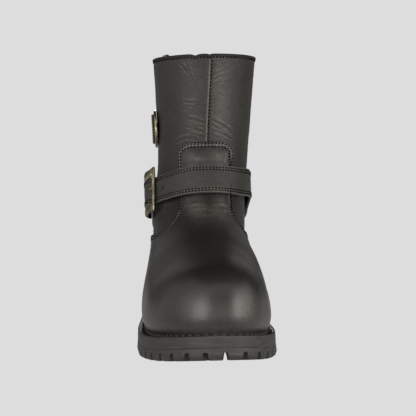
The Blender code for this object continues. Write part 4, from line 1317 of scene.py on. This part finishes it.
def makeBillet():
    loop = roundedLoop(strap["width"] - billet["narrower"], billet["thick"], 0.7)
    along = np.linspace(billet["from"], billet["to"], 60)
    middle = billet["gap"] + billet["thick"] / 2
    sections = strapPlace(along[:, None], loop[:, 0], middle + loop[:, 1])
    faces = tubeFaces(*sections.shape[:2])
    plain = np.zeros(sections.shape[:-1])
    masks = {"wearAndSheen": plain, "shade": plain}
    piece = addPiece("strap_billet", sections, faces, [strapLeather], masks)
    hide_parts("strap_billet")


makeBillet()
print("strap: made with stitches and billet")


# Buckle: a cast frame with drawn-out corners, and its prong

buckle = {
    "bar": 2.6,
    "window": 25.0,
    "clearance": 0.5,
    "side": 4.6,
    "frontHorn": 3.2,
    "belly": 2.8,  # of the plates at their bend
    "bellyAt": 0.42,
    "bellyWidth": 0.3,
    "arch": 3.3,  # of the two plates over the strap's bend
    "crown": 0.35,  # this and the corner are shares of the bar
    "corner": 0.28,
    "skew": 0.27,  # of the whole buckle against the strap
    "turn": 0.16,  # lower towards its back
    "prong": 1.5,
    "prongSteps": 30,
    "noseOut": 7.1,
    "backOut": 4.5,
    "plateSteps": 26,
    "barSteps": 12,
}


def frameOut(along):
    share = np.clip((strap["nose"] - along) / (buckle["window"] + buckle["bar"]), 0, 1)
    return buckle["noseOut"] + (buckle["backOut"] - buckle["noseOut"]) * share


barBack = strap["nose"] - buckle["window"] - buckle["bar"]


def makeBuckleFrame():
    bar = buckle["bar"]
    front, back = strap["nose"] + bar / 2, barBack - bar / 2
    windowHalf = strap["width"] / 2 + buckle["clearance"]
    share = np.linspace(0, 1, buckle["plateSteps"])
    belly = buckle["belly"] * bump(share - buckle["bellyAt"], buckle["bellyWidth"])
    reach = windowHalf + buckle["side"] + buckle["frontHorn"] * share**3 + belly
    outerAt = back + (front - back) * share
    innerAt = np.clip(outerAt, barBack + bar / 2, strap["nose"] - bar / 2)
    bars = np.linspace(-1, 1, buckle["barSteps"] + 2)[1:-1]
    arch = buckle["arch"] * np.sin(np.pi * share**0.7)
    plate = list(zip(innerAt, outerAt, reach, arch))
    ring = [(i, windowHalf, o, r, a) for i, o, r, a in plate]
    ring += [(strap["nose"] - bar / 2, -windowHalf * s, front, -windowHalf * s, 0) for s in bars]
    ring += [(i, -windowHalf, o, -r, a) for i, o, r, a in plate[::-1]]
    ring += [(barBack + bar / 2, windowHalf * s, back, windowHalf * s, 0) for s in bars]
    loop = roundedLoop(1, 1, buckle["corner"])
    sections, shade = [], []
    for innerAlong, innerAcross, outerAlong, outerAcross, lifted in ring:
        part = loop[:, 0] + 0.5
        along = innerAlong + (outerAlong - innerAlong) * part
        across = innerAcross + (outerAcross - innerAcross) * part
        crown = 1 + buckle["crown"] * (loop[:, 1] > 0) * np.sin(np.pi * part)
        out = frameOut(along) + lifted + loop[:, 1] * bar * crown
        lower = (along - strap["nose"]) * buckle["turn"]
        sections.append(strapPlace(along - across * buckle["skew"], across + lower, out))
        # Painted shade on the plates, partly antique patina, and painted shade on the frame's underside
        onPlate = 0.45 * smooth((np.abs(across) - windowHalf - 0.6) / 1.2)
        shade.append(np.where(loop[:, 1] < 0, 0.7, onPlate))
    sections = np.array(sections)
    faces = tubeFaces(*sections.shape[:2], True)
    masks = {"shade": np.array(shade)}
    piece = addPiece("buckle_frame", sections, faces, [antiqueBrass], masks, smoothAngle=60)
    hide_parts("buckle_frame")


def makeBuckleProng():
    bar, count = buckle["bar"], buckle["prongSteps"]
    top = buckle["noseOut"] + bar / 2 + buckle["prong"] / 2 + 0.2
    route = rows(
        "along out",
        (barBack + bar / 2 + 0.9, buckle["backOut"]),
        (strap["nose"] - 14, buckle["backOut"] + 0.5),
        (strap["nose"] - 9, buckle["backOut"] + 1.1),
        (strap["nose"] - 5, top - 0.6),
        (strap["nose"] - 2, top),
        (strap["nose"] + 2.6, top - 0.1),
    )
    along, out = curveThrough(route, count)
    turns = np.linspace(0, 2 * np.pi, 10, endpoint=False)
    thick = buckle["prong"] / 2 * np.sqrt(np.clip(1.02 - np.linspace(-1, 1, count) ** 16, 0.1, 1))
    aside, rise = thick[:, None] * np.cos(turns), thick[:, None] * np.sin(turns)
    sections = strapPlace(along[:, None], aside, out[:, None] + rise)
    faces = tubeFaces(*sections.shape[:2])
    masks = {"shade": np.zeros(sections.shape[:-1])}
    piece = addPiece("buckle_prong", sections, faces, [antiqueBrass], masks)
    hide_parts("buckle_prong")


makeBuckleFrame()
makeBuckleProng()

# Concho: a turned disc with a domed middle and a ring of beads

concho = {
    "height": 182.4,
    "angle": -97.0,
    "sides": 72,
    "profile": rows(
        "radius rise",
        (0.01, 3.4), (2, 3.36), (5, 3.05), (7.5, 2.3), (9, 1.9), (10.2, 1.9), (10.8, 2.7), (12.2, 3.1),
        (13.6, 2.7), (14.2, 1.9), (15.2, 1.8), (15.8, 2.2), (16.5, 2.1), (17.0, 1.3), (16.8, 0.2),
        (16.2, 0.0), (0.01, 0.0),
    ),
    "beads": 30,
    "beadRing": 12.2,
    "bead": 1.25,
    "beadRise": 3.2,
}


def makeConcho():
    sides, profile = concho["sides"], concho["profile"]
    turnBy, raiseBy = np.array([8, -8, 0, 0, 0]), np.array([0, 0, 12, -12, 0])
    spots = shaftPoint(concho["angle"] + turnBy, concho["height"] + raiseBy)
    centre, upward = spots[4], unit(spots[2] - spots[3])
    outward = unit(np.cross(spots[0] - spots[1], upward))
    outward *= np.sign(np.dot(outward, centre - (0, last["axis"], concho["height"])))
    aside = np.cross(upward, outward)
    base = centre + outward * 0.4
    turns = np.linspace(0, 2 * np.pi, sides, endpoint=False)
    ways = aside * np.cos(turns)[:, None] + upward * np.sin(turns)[:, None]
    sections = base + ways[:, None] * profile["radius"][:, None] + outward * profile["rise"][:, None]
    count = len(profile["radius"])
    faces = gridFaces(sides, count, True, False)
    faces += [[k * count for k in range(sides)], [k * count + count - 1 for k in range(sides)]]
    points = [sections.reshape(-1, 3)]
    # Patina and painted shade in the recesses round the bead ring
    shades = [np.tile(0.9 * bump(profile["radius"] - concho["beadRing"], 2.4), sides)]
    lat, lon = np.radians(np.linspace(-80, 80, 7)), np.linspace(0, 2 * np.pi, 10, endpoint=False)
    for turn in np.linspace(0, 2 * np.pi, concho["beads"], endpoint=False):
        way = aside * math.cos(turn) + upward * math.sin(turn)
        middle = base + way * concho["beadRing"] + outward * concho["beadRise"]
        ball = [[middle + concho["bead"] * (outward * math.sin(a)
                 + (aside * math.cos(b) + upward * math.sin(b)) * math.cos(a)) for b in lon] for a in lat]
        start = sum(len(part) for part in points)
        faces += [[corner + start for corner in face] for face in tubeFaces(len(lat), len(lon))]
        points.append(np.reshape(ball, (-1, 3)))
        # Painted shade on the beads' sides, so only their tips stay bright
        shades.append(np.repeat(0.9 * smooth((0.95 - np.sin(lat)) / 0.5), len(lon)))
    piece = addPiece("concho", np.concatenate(points), faces, [antiqueBrass],
                     {"shade": np.concatenate(shades)})
    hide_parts("concho")


makeConcho()
print("buckle and concho: made")


# Sole: welt with its stitched groove, midsole, lugged outsole and heel

sole = {
    "edge": 9.8,
    "gap": 0.3,
    "welt": 3.6,
    "ledge": 8.0,
    "midsole": 4.8,
    "flare": 0.9,
    "stations": 150,
    "lugDepth": 6.0,
    "lugPitch": 14.5,
    "past": 4.0,  # how far the cutters reach past the rubber
    "notch": (3.4, 5.6),  # width at its top and at the tread
    "notchReach": 17.0,
    "groove": 4.5,
    "barPitch": 22.0,
    "firstBar": -228.0,
    "lugsBefore": -104.0,
    "channel": (0.3, 6.6),  # straight groove from the toe: width at its top and under the tread
    "channelAt": 13.4,
    "channelEnd": -168.0,
    "channelLean": 0.03,
    "breast": -30.0,
    "heelTaper": 2.0,
    "heelReach": 11.0,
    "stitchOut": 3.6,
    "weltThread": {"pitch": 6.5, "length": 5.6, "radius": 1.2, "lift": 0.9, "sink": 0.3},
}


def soleRing(grow, stations=None):  # plan outline at a distance outside the feather line, from the back round
    around = np.linspace(-1, 1, 2 * (stations or sole["stations"]), endpoint=False)
    ring = upperPoint(around, np.zeros(len(around)))[:, :2]
    tangent = unit(np.roll(ring, -1, 0) - np.roll(ring, 1, 0))
    outward = np.stack((tangent[:, 1], -tangent[:, 0]), 1)
    outward *= np.sign(outward[0, 1])
    return ring + outward * grow


def weltTop(y):
    return feather(y) - sole["gap"]


def midsoleTop(y):
    return weltTop(y) - sole["welt"] - sole["gap"]


def outsoleTop(y):
    return midsoleTop(y) - sole["midsole"] - sole["gap"]


def atHeights(plan, height):
    return np.concatenate((plan, height(plan[:, 1])[:, None]), 1)


def makeWelt():
    edge = sole["edge"]
    profile = [  # distance outside the feather line, and height over the welt's top
        (-sole["ledge"], 0), (-2.0, -0.1), (0.6, -0.9), (2.4, -1.8), (4.6, -1.7), (5.8, -0.6), (6.6, 0.1),
        (edge - 1.4, 0.25), (edge - 0.6, 0.1), (edge - 0.15, -0.3), (edge, -0.9), (edge + 0.05, -2.2),
        (edge + 0.14, -3.88), (edge - 1.5, -3.88), (-sole["ledge"], -3.85),
    ]
    sections = [atHeights(soleRing(grow), weltTop) + (0, 0, drop) for grow, drop in profile]
    sections = np.swapaxes(sections, 0, 1)
    piece = addPiece("welt", sections, tubeFaces(*sections.shape[:2], True), [soleRubber])
    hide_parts("welt")
    path = atHeights(soleRing(sole["stitchOut"]), weltTop) + (0, 0, 0.2)
    path = np.concatenate((path, path[:1]))
    points, faces = stitchMesh([(path, np.tile((0.0, 0.0, 1.0), (len(path), 1)))], sole["weltThread"])
    addPiece("welt_stitches", points, faces, [weltThread])


def slabMesh(rings):  # plate through plan outlines with heights, closed by strips from side to side
    count = len(rings[0])
    half = count // 2
    points = np.concatenate(rings)
    faces = gridFaces(len(rings), count, False, True)
    for level in (0, len(rings) - 1):
        start = level * count
        for j in range(half):
            a, b = start + j, start + j + 1
            c, d = start + (count - j - 1) % count, start + (count - j) % count
            faces.append(list(dict.fromkeys((a, b, c, d))))
    return points, [face for face in faces if len(face) > 2]


def makeMidsole():
    rings = []
    for grow, drop in ((0.15, 0), (0.2, 1.2), (0.25, 3.8), (0.25, 4.85), (0.12, 5.05)):
        rings.append(atHeights(soleRing(sole["edge"] + grow), midsoleTop) - (0, 0, drop))
    points, faces = slabMesh(rings)
    piece = addPiece("midsole", points, faces, [soleRubber])
    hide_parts("midsole")


def wedge(shape, x, y, way, length, widths, low, high):  # tapered slot, wider at the tread
    for vertex in bmesh.ops.create_cube(shape, size=1)["verts"]:
        rise = vertex.co.z + 0.5
        along = vertex.co.x * length + length / 2
        aside = vertex.co.y * (widths[1] + (widths[0] - widths[1]) * rise)
        atX = x + way[0] * along - way[1] * aside
        atY = y + way[1] * along + way[0] * aside
        vertex.co = Vector((atX, atY, low + rise * (high - low))) * mm


def edgeSlots(shape, edge, first, reach, stop):  # notches at even steps along an edge
    run, past = runOf(edge), sole["past"]
    narrow, wide = sole["notch"]
    below = wide + (wide - narrow) * past / sole["lugDepth"]
    for at in np.arange(first, run[-1], sole["lugPitch"]):
        x, y = alongLine(edge, run, at)
        if stop(y):
            break
        tangent = unit(alongLine(edge, run, at + 3) - alongLine(edge, run, at - 3))
        inward = np.array((-tangent[1], tangent[0]))
        middle = (2.5, -150.0 if y < -100 else 0.0)  # of the forefoot or of the heel
        inward *= -np.sign(np.dot(inward, np.subtract((x, y), middle)) + 1e-9)
        low = float(tread(y)) if y < sole["breast"] else 0.0
        start = np.array((x, y)) - inward * past
        wedge(shape, *start, inward, reach + past, (narrow, below), low - past, low + sole["lugDepth"])


def cutAway(name, points, faces, cutters):  # solid with the cutters taken out and its edges softened
    mesh = bpy.data.meshes.new(name)
    mesh.from_pydata((np.asarray(points) * mm).tolist(), [], faces)
    turnOutward(mesh)
    made = addObject(name + "_blank", mesh)
    tools = [made]
    for index, shape in enumerate(cutters, 1):
        target = bpy.data.meshes.new(f"{name}_cutter_{index}")
        shape.to_mesh(target)
        shape.free()
        turnOutward(target)
        tools.append(addObject(target.name, target))
        cut = made.modifiers.new(target.name, "BOOLEAN")
        cut.object = tools[-1]
        cut.solver = "MANIFOLD"
    soften = made.modifiers.new("soften", "BEVEL")
    soften.width, soften.segments, soften.limit_method = 0.45 * mm, 2, "ANGLE"
    soften.angle_limit = math.radians(50)
    bpy.context.view_layer.update()
    done = bpy.data.meshes.new_from_object(made.evaluated_get(bpy.context.evaluated_depsgraph_get()))
    done.name = name
    for tool in tools:
        bpy.data.objects.remove(tool)
    done.materials.clear()
    done.materials.append(soleRubber)
    piece = finishPiece(name, done, 40)
    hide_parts(name)


def halvesFromToe(ring):
    middle = len(ring) // 2
    lateral = ring[middle::-1]
    medial = np.concatenate((ring[middle:], ring[:1]))
    return lateral, medial


def grooveTop(y):  # comes out under the tread behind the lugs
    return tread(y) - 3 + (sole["lugDepth"] + 2) * smooth((sole["lugsBefore"] - 2 - y) / 6)


def grooveFloor(y):
    return tread(y) - 5


def grooveCutter(inner):  # one groove all round, inside the notches
    outerRing, innerRing = soleRing(-inner, 90), soleRing(-inner - sole["groove"], 90)
    band = [atHeights(outerRing, grooveTop), atHeights(outerRing, grooveFloor),
            atHeights(innerRing, grooveFloor), atHeights(innerRing, grooveTop)]
    groove = bmesh.new()
    corners = [groove.verts.new(Vector(p) * mm) for p in np.swapaxes(band, 0, 1).reshape(-1, 3)]
    for face in tubeFaces(len(outerRing), len(band), True):
        groove.faces.new([corners[i] for i in face])
    return groove


def barCutter(inner):  # grooves from side to side between the lugs
    bars = bmesh.new()
    left, right = halvesFromToe(soleRing(-inner - sole["groove"] + 1))
    widths = (sole["groove"] - 0.8, sole["groove"] + 0.8)
    for y in np.arange(sole["firstBar"], sole["lugsBefore"], sole["barPitch"]):
        ends = [np.interp(y, line[:, 1], line[:, 0]) for line in (left, right)]
        low = float(tread(y))
        bottom, top = low - sole["past"], low + sole["lugDepth"] - 1
        wedge(bars, ends[0], y, (1, 0), ends[1] - ends[0], widths, bottom, top)
    return bars


def channelCutter(startY):  # the straight groove from the toe
    channel = bmesh.new()
    narrow, wide = sole["channel"]
    for vertex in bmesh.ops.create_cube(channel, size=1)["verts"]:
        y = startY if vertex.co.y < 0 else sole["channelEnd"]
        across = narrow if vertex.co.z > 0 else wide
        z = float(tread(y)) + sole["lugDepth"] - 1 if vertex.co.z > 0 else -3.0
        x = sole["channelAt"] + sole["channelLean"] * (y - startY) + vertex.co.x * across
        vertex.co = Vector((x, y, z)) * mm
    return channel


def makeOutsole():
    edge, flare = sole["edge"], sole["flare"]
    top = atHeights(soleRing(edge + 0.12), outsoleTop)
    shoulder = atHeights(soleRing(edge + 0.27), lambda y: outsoleTop(y) - 0.25)
    wall = atHeights(soleRing(edge + flare), lambda y: tread(y) + 3.2)
    turned = atHeights(soleRing(edge + flare - 0.7), lambda y: tread(y) + 0.9)
    bottom = atHeights(soleRing(edge + flare - 2.0), tread)
    points, faces = slabMesh([top, shoulder, wall, turned, bottom])
    notches = bmesh.new()
    for first, side in zip((0, sole["lugPitch"]), halvesFromToe(bottom[:, :2])):
        edgeSlots(notches, side, first, sole["notchReach"], lambda y: y > sole["lugsBefore"])
    inner = sole["notchReach"] - edge - flare
    channel = channelCutter(float(bottom[:, 1].min()) - 3)
    cutAway("outsole", points, faces, [notches, grooveCutter(inner), barCutter(inner), channel])


def heelSides(grow):  # both sides of the plan, from the back to the breast
    sides = []
    for half in halvesFromToe(soleRing(grow)):
        kept = half[::-1][half[::-1, 1] > sole["breast"] + 1]
        x = np.interp(sole["breast"], half[:, 1], half[:, 0])
        sides.append(np.vstack((kept, (x, sole["breast"]))))
    return sides


def makeHeel():
    levels = [heelSides(sole["edge"] - 0.4), heelSides(sole["edge"] - sole["heelTaper"])]
    fewest = min(len(side) for sides in levels for side in sides)
    levels = [[np.vstack((side[:fewest - 1], side[-1:])) for side in sides] for sides in levels]
    plans = [np.vstack((lateral, medial[:0:-1])) for lateral, medial in levels]
    outlines = [atHeights(plans[0], lambda y: tread(y) - sole["gap"]), atHeights(plans[1], lambda y: 0 * y)]
    count = len(plans[0])
    points = np.concatenate(outlines)
    faces = gridFaces(2, count, False, True)
    faces += [list(range(count)), list(range(count, 2 * count))]
    slots = bmesh.new()
    for first, side in zip((0, sole["lugPitch"]), levels[1]):
        edgeSlots(slots, side, first, sole["heelReach"], lambda y: y < sole["breast"] + 8)
    cutAway("heel", points, faces, [slots])


makeWelt()
makeMidsole()
makeOutsole()
makeHeel()
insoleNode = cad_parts["insole"]
insoleNode.data.materials.clear()
insoleNode.data.materials.append(insoleBoard)
print("sole: made")


# Stage: pale floor and ground, soft lamps all round, and the photograph's view

stage = {
    "ground": (0.730, 0.723, 0.730),
    "ambient": 0.01,
    "ambientColour": (1.0, 0.98, 0.95),
    "floorLight": 0.56,
    "floorColour": (0.735, 0.714, 0.675),
    "floorReach": 6000.0,
    "lampColour": (1.0, 0.962, 0.905),
    "lampAway": 1300.0,
    "lampTarget": (0.0, -120.0, 90.0),
    "lens": 111.4,  # on a 36 mm sensor
    "distance": 1200.0,
    "eye": 158.0,
    "aside": 8.9,
    "yaw": 1.2,
    "pitch": 2.36,
    "roll": -1.1,
}
lamps = [
    {"name": "left_low", "azimuth": -40.0, "elevation": 8.0, "size": (700.0, 500.0), "power": 7.4},
    {"name": "left_high", "azimuth": -40.0, "elevation": 35.0, "size": (700.0, 500.0), "power": 1.4},
    {"name": "left_side", "azimuth": -72.0, "elevation": 12.0, "size": (600.0, 700.0), "power": 1.6},
    {"name": "left_above", "azimuth": -85.0, "elevation": 42.0, "size": (700.0, 500.0), "power": 1.0},
    {"name": "right_low", "azimuth": 45.0, "elevation": 8.0, "size": (700.0, 500.0), "power": 7.4},
    {"name": "right_high", "azimuth": 45.0, "elevation": 35.0, "size": (700.0, 500.0), "power": 1.5},
    {"name": "right_side", "azimuth": 72.0, "elevation": 12.0, "size": (600.0, 700.0), "power": 3.6},
    {"name": "right_far", "azimuth": 98.0, "elevation": 14.0, "size": (500.0, 600.0), "power": 1.2},
    {"name": "front_low", "azimuth": 5.0, "elevation": 2.0, "size": (900.0, 500.0), "power": 3.2},
    {"name": "front_high", "azimuth": 0.0, "elevation": 50.0, "size": (1000.0, 500.0), "power": 1.9},
    {"name": "backdrop", "azimuth": 180.0, "elevation": 22.0, "size": (1600.0, 900.0), "power": 1.1},
    {"name": "behind", "azimuth": 180.0, "elevation": 20.0, "size": (200.0, 260.0), "power": 2.6},
    {"name": "wall_left", "azimuth": -108.0, "elevation": 10.0, "size": (1000.0, 1000.0), "power": 1.6},
]


def seenAndLit(tree, kind, output, seen, lit):  # one look for the camera, another for the light it gives
    tree.nodes.clear()
    mix = tree.nodes.new("ShaderNodeMixShader")
    tree.links.new(addNode(tree, "LightPath").outputs["Is Camera Ray"], mix.inputs[0])
    for socket, (colour, strength) in ((mix.inputs[1], lit), (mix.inputs[2], seen)):
        tree.links.new(addNode(tree, kind, Color=opaque(colour), Strength=strength).outputs[0], socket)
    tree.links.new(mix.outputs[0], tree.nodes.new(output).inputs["Surface"])


def makeStage():
    floor = bpy.data.meshes.new("floor")
    reach = stage["floorReach"] * mm
    corners = [(-reach, -reach, 0), (reach, -reach, 0), (reach, reach, 0), (-reach, reach, 0)]
    floor.from_pydata(corners, [], [(0, 1, 2, 3)])
    plane = addObject("floor", floor)
    seen = (stage["ground"], 1.0)
    material = bpy.data.materials.new("pale_floor")
    material.use_nodes = True
    dim = (stage["floorColour"], stage["floorLight"])
    seenAndLit(material.node_tree, "Emission", "ShaderNodeOutputMaterial", seen, dim)
    floor.materials.append(material)

    world = bpy.context.scene.world or bpy.data.worlds.new("studio")
    bpy.context.scene.world = world
    world.use_nodes = True
    ambient = (stage["ambientColour"], stage["ambient"])
    seenAndLit(world.node_tree, "Background", "ShaderNodeOutputWorld", seen, ambient)


def makeLamps():
    target = Vector(stage["lampTarget"]) * mm
    for lamp in lamps:
        data = bpy.data.lights.new(lamp["name"], "AREA")
        data.shape = "RECTANGLE"
        data.size, data.size_y = lamp["size"][0] * mm, lamp["size"][1] * mm
        data.energy = lamp["power"]
        data.color = stage["lampColour"]
        made = addObject(lamp["name"], data)
        made.visible_camera = False
        azimuth, elevation = math.radians(lamp["azimuth"]), math.radians(lamp["elevation"])
        level = math.cos(elevation)
        way = Vector((math.sin(azimuth) * level, -math.cos(azimuth) * level, math.sin(elevation)))
        made.location = target + way * stage["lampAway"] * mm
        made.rotation_euler = (-way).to_track_quat("-Z", "Y").to_euler()


def makeCamera():
    data = bpy.data.cameras.new("camera")
    data.sensor_width = 36.0
    data.lens = stage["lens"]
    data.clip_start = 0.05
    made = addObject("camera", data)
    yaw = math.radians(stage["yaw"])
    right, forward = Vector((math.cos(yaw), -math.sin(yaw), 0)), Vector((math.sin(yaw), math.cos(yaw), 0))
    place = (forward * -stage["distance"] + right * stage["aside"] + Vector((0, 0, stage["eye"]))) * mm
    pitch = math.radians(stage["pitch"])
    look = forward * math.cos(pitch) - Vector((0, 0, math.sin(pitch)))
    turn = look.to_track_quat("-Z", "Y").to_matrix() @ Matrix.Rotation(math.radians(stage["roll"]), 3, "Z")
    made.matrix_world = Matrix.Translation(place) @ turn.to_4x4()
    bpy.context.scene.camera = made


makeStage()
makeLamps()
makeCamera()
bpy.context.scene.view_settings.view_transform = "Standard"
print("stage: made")
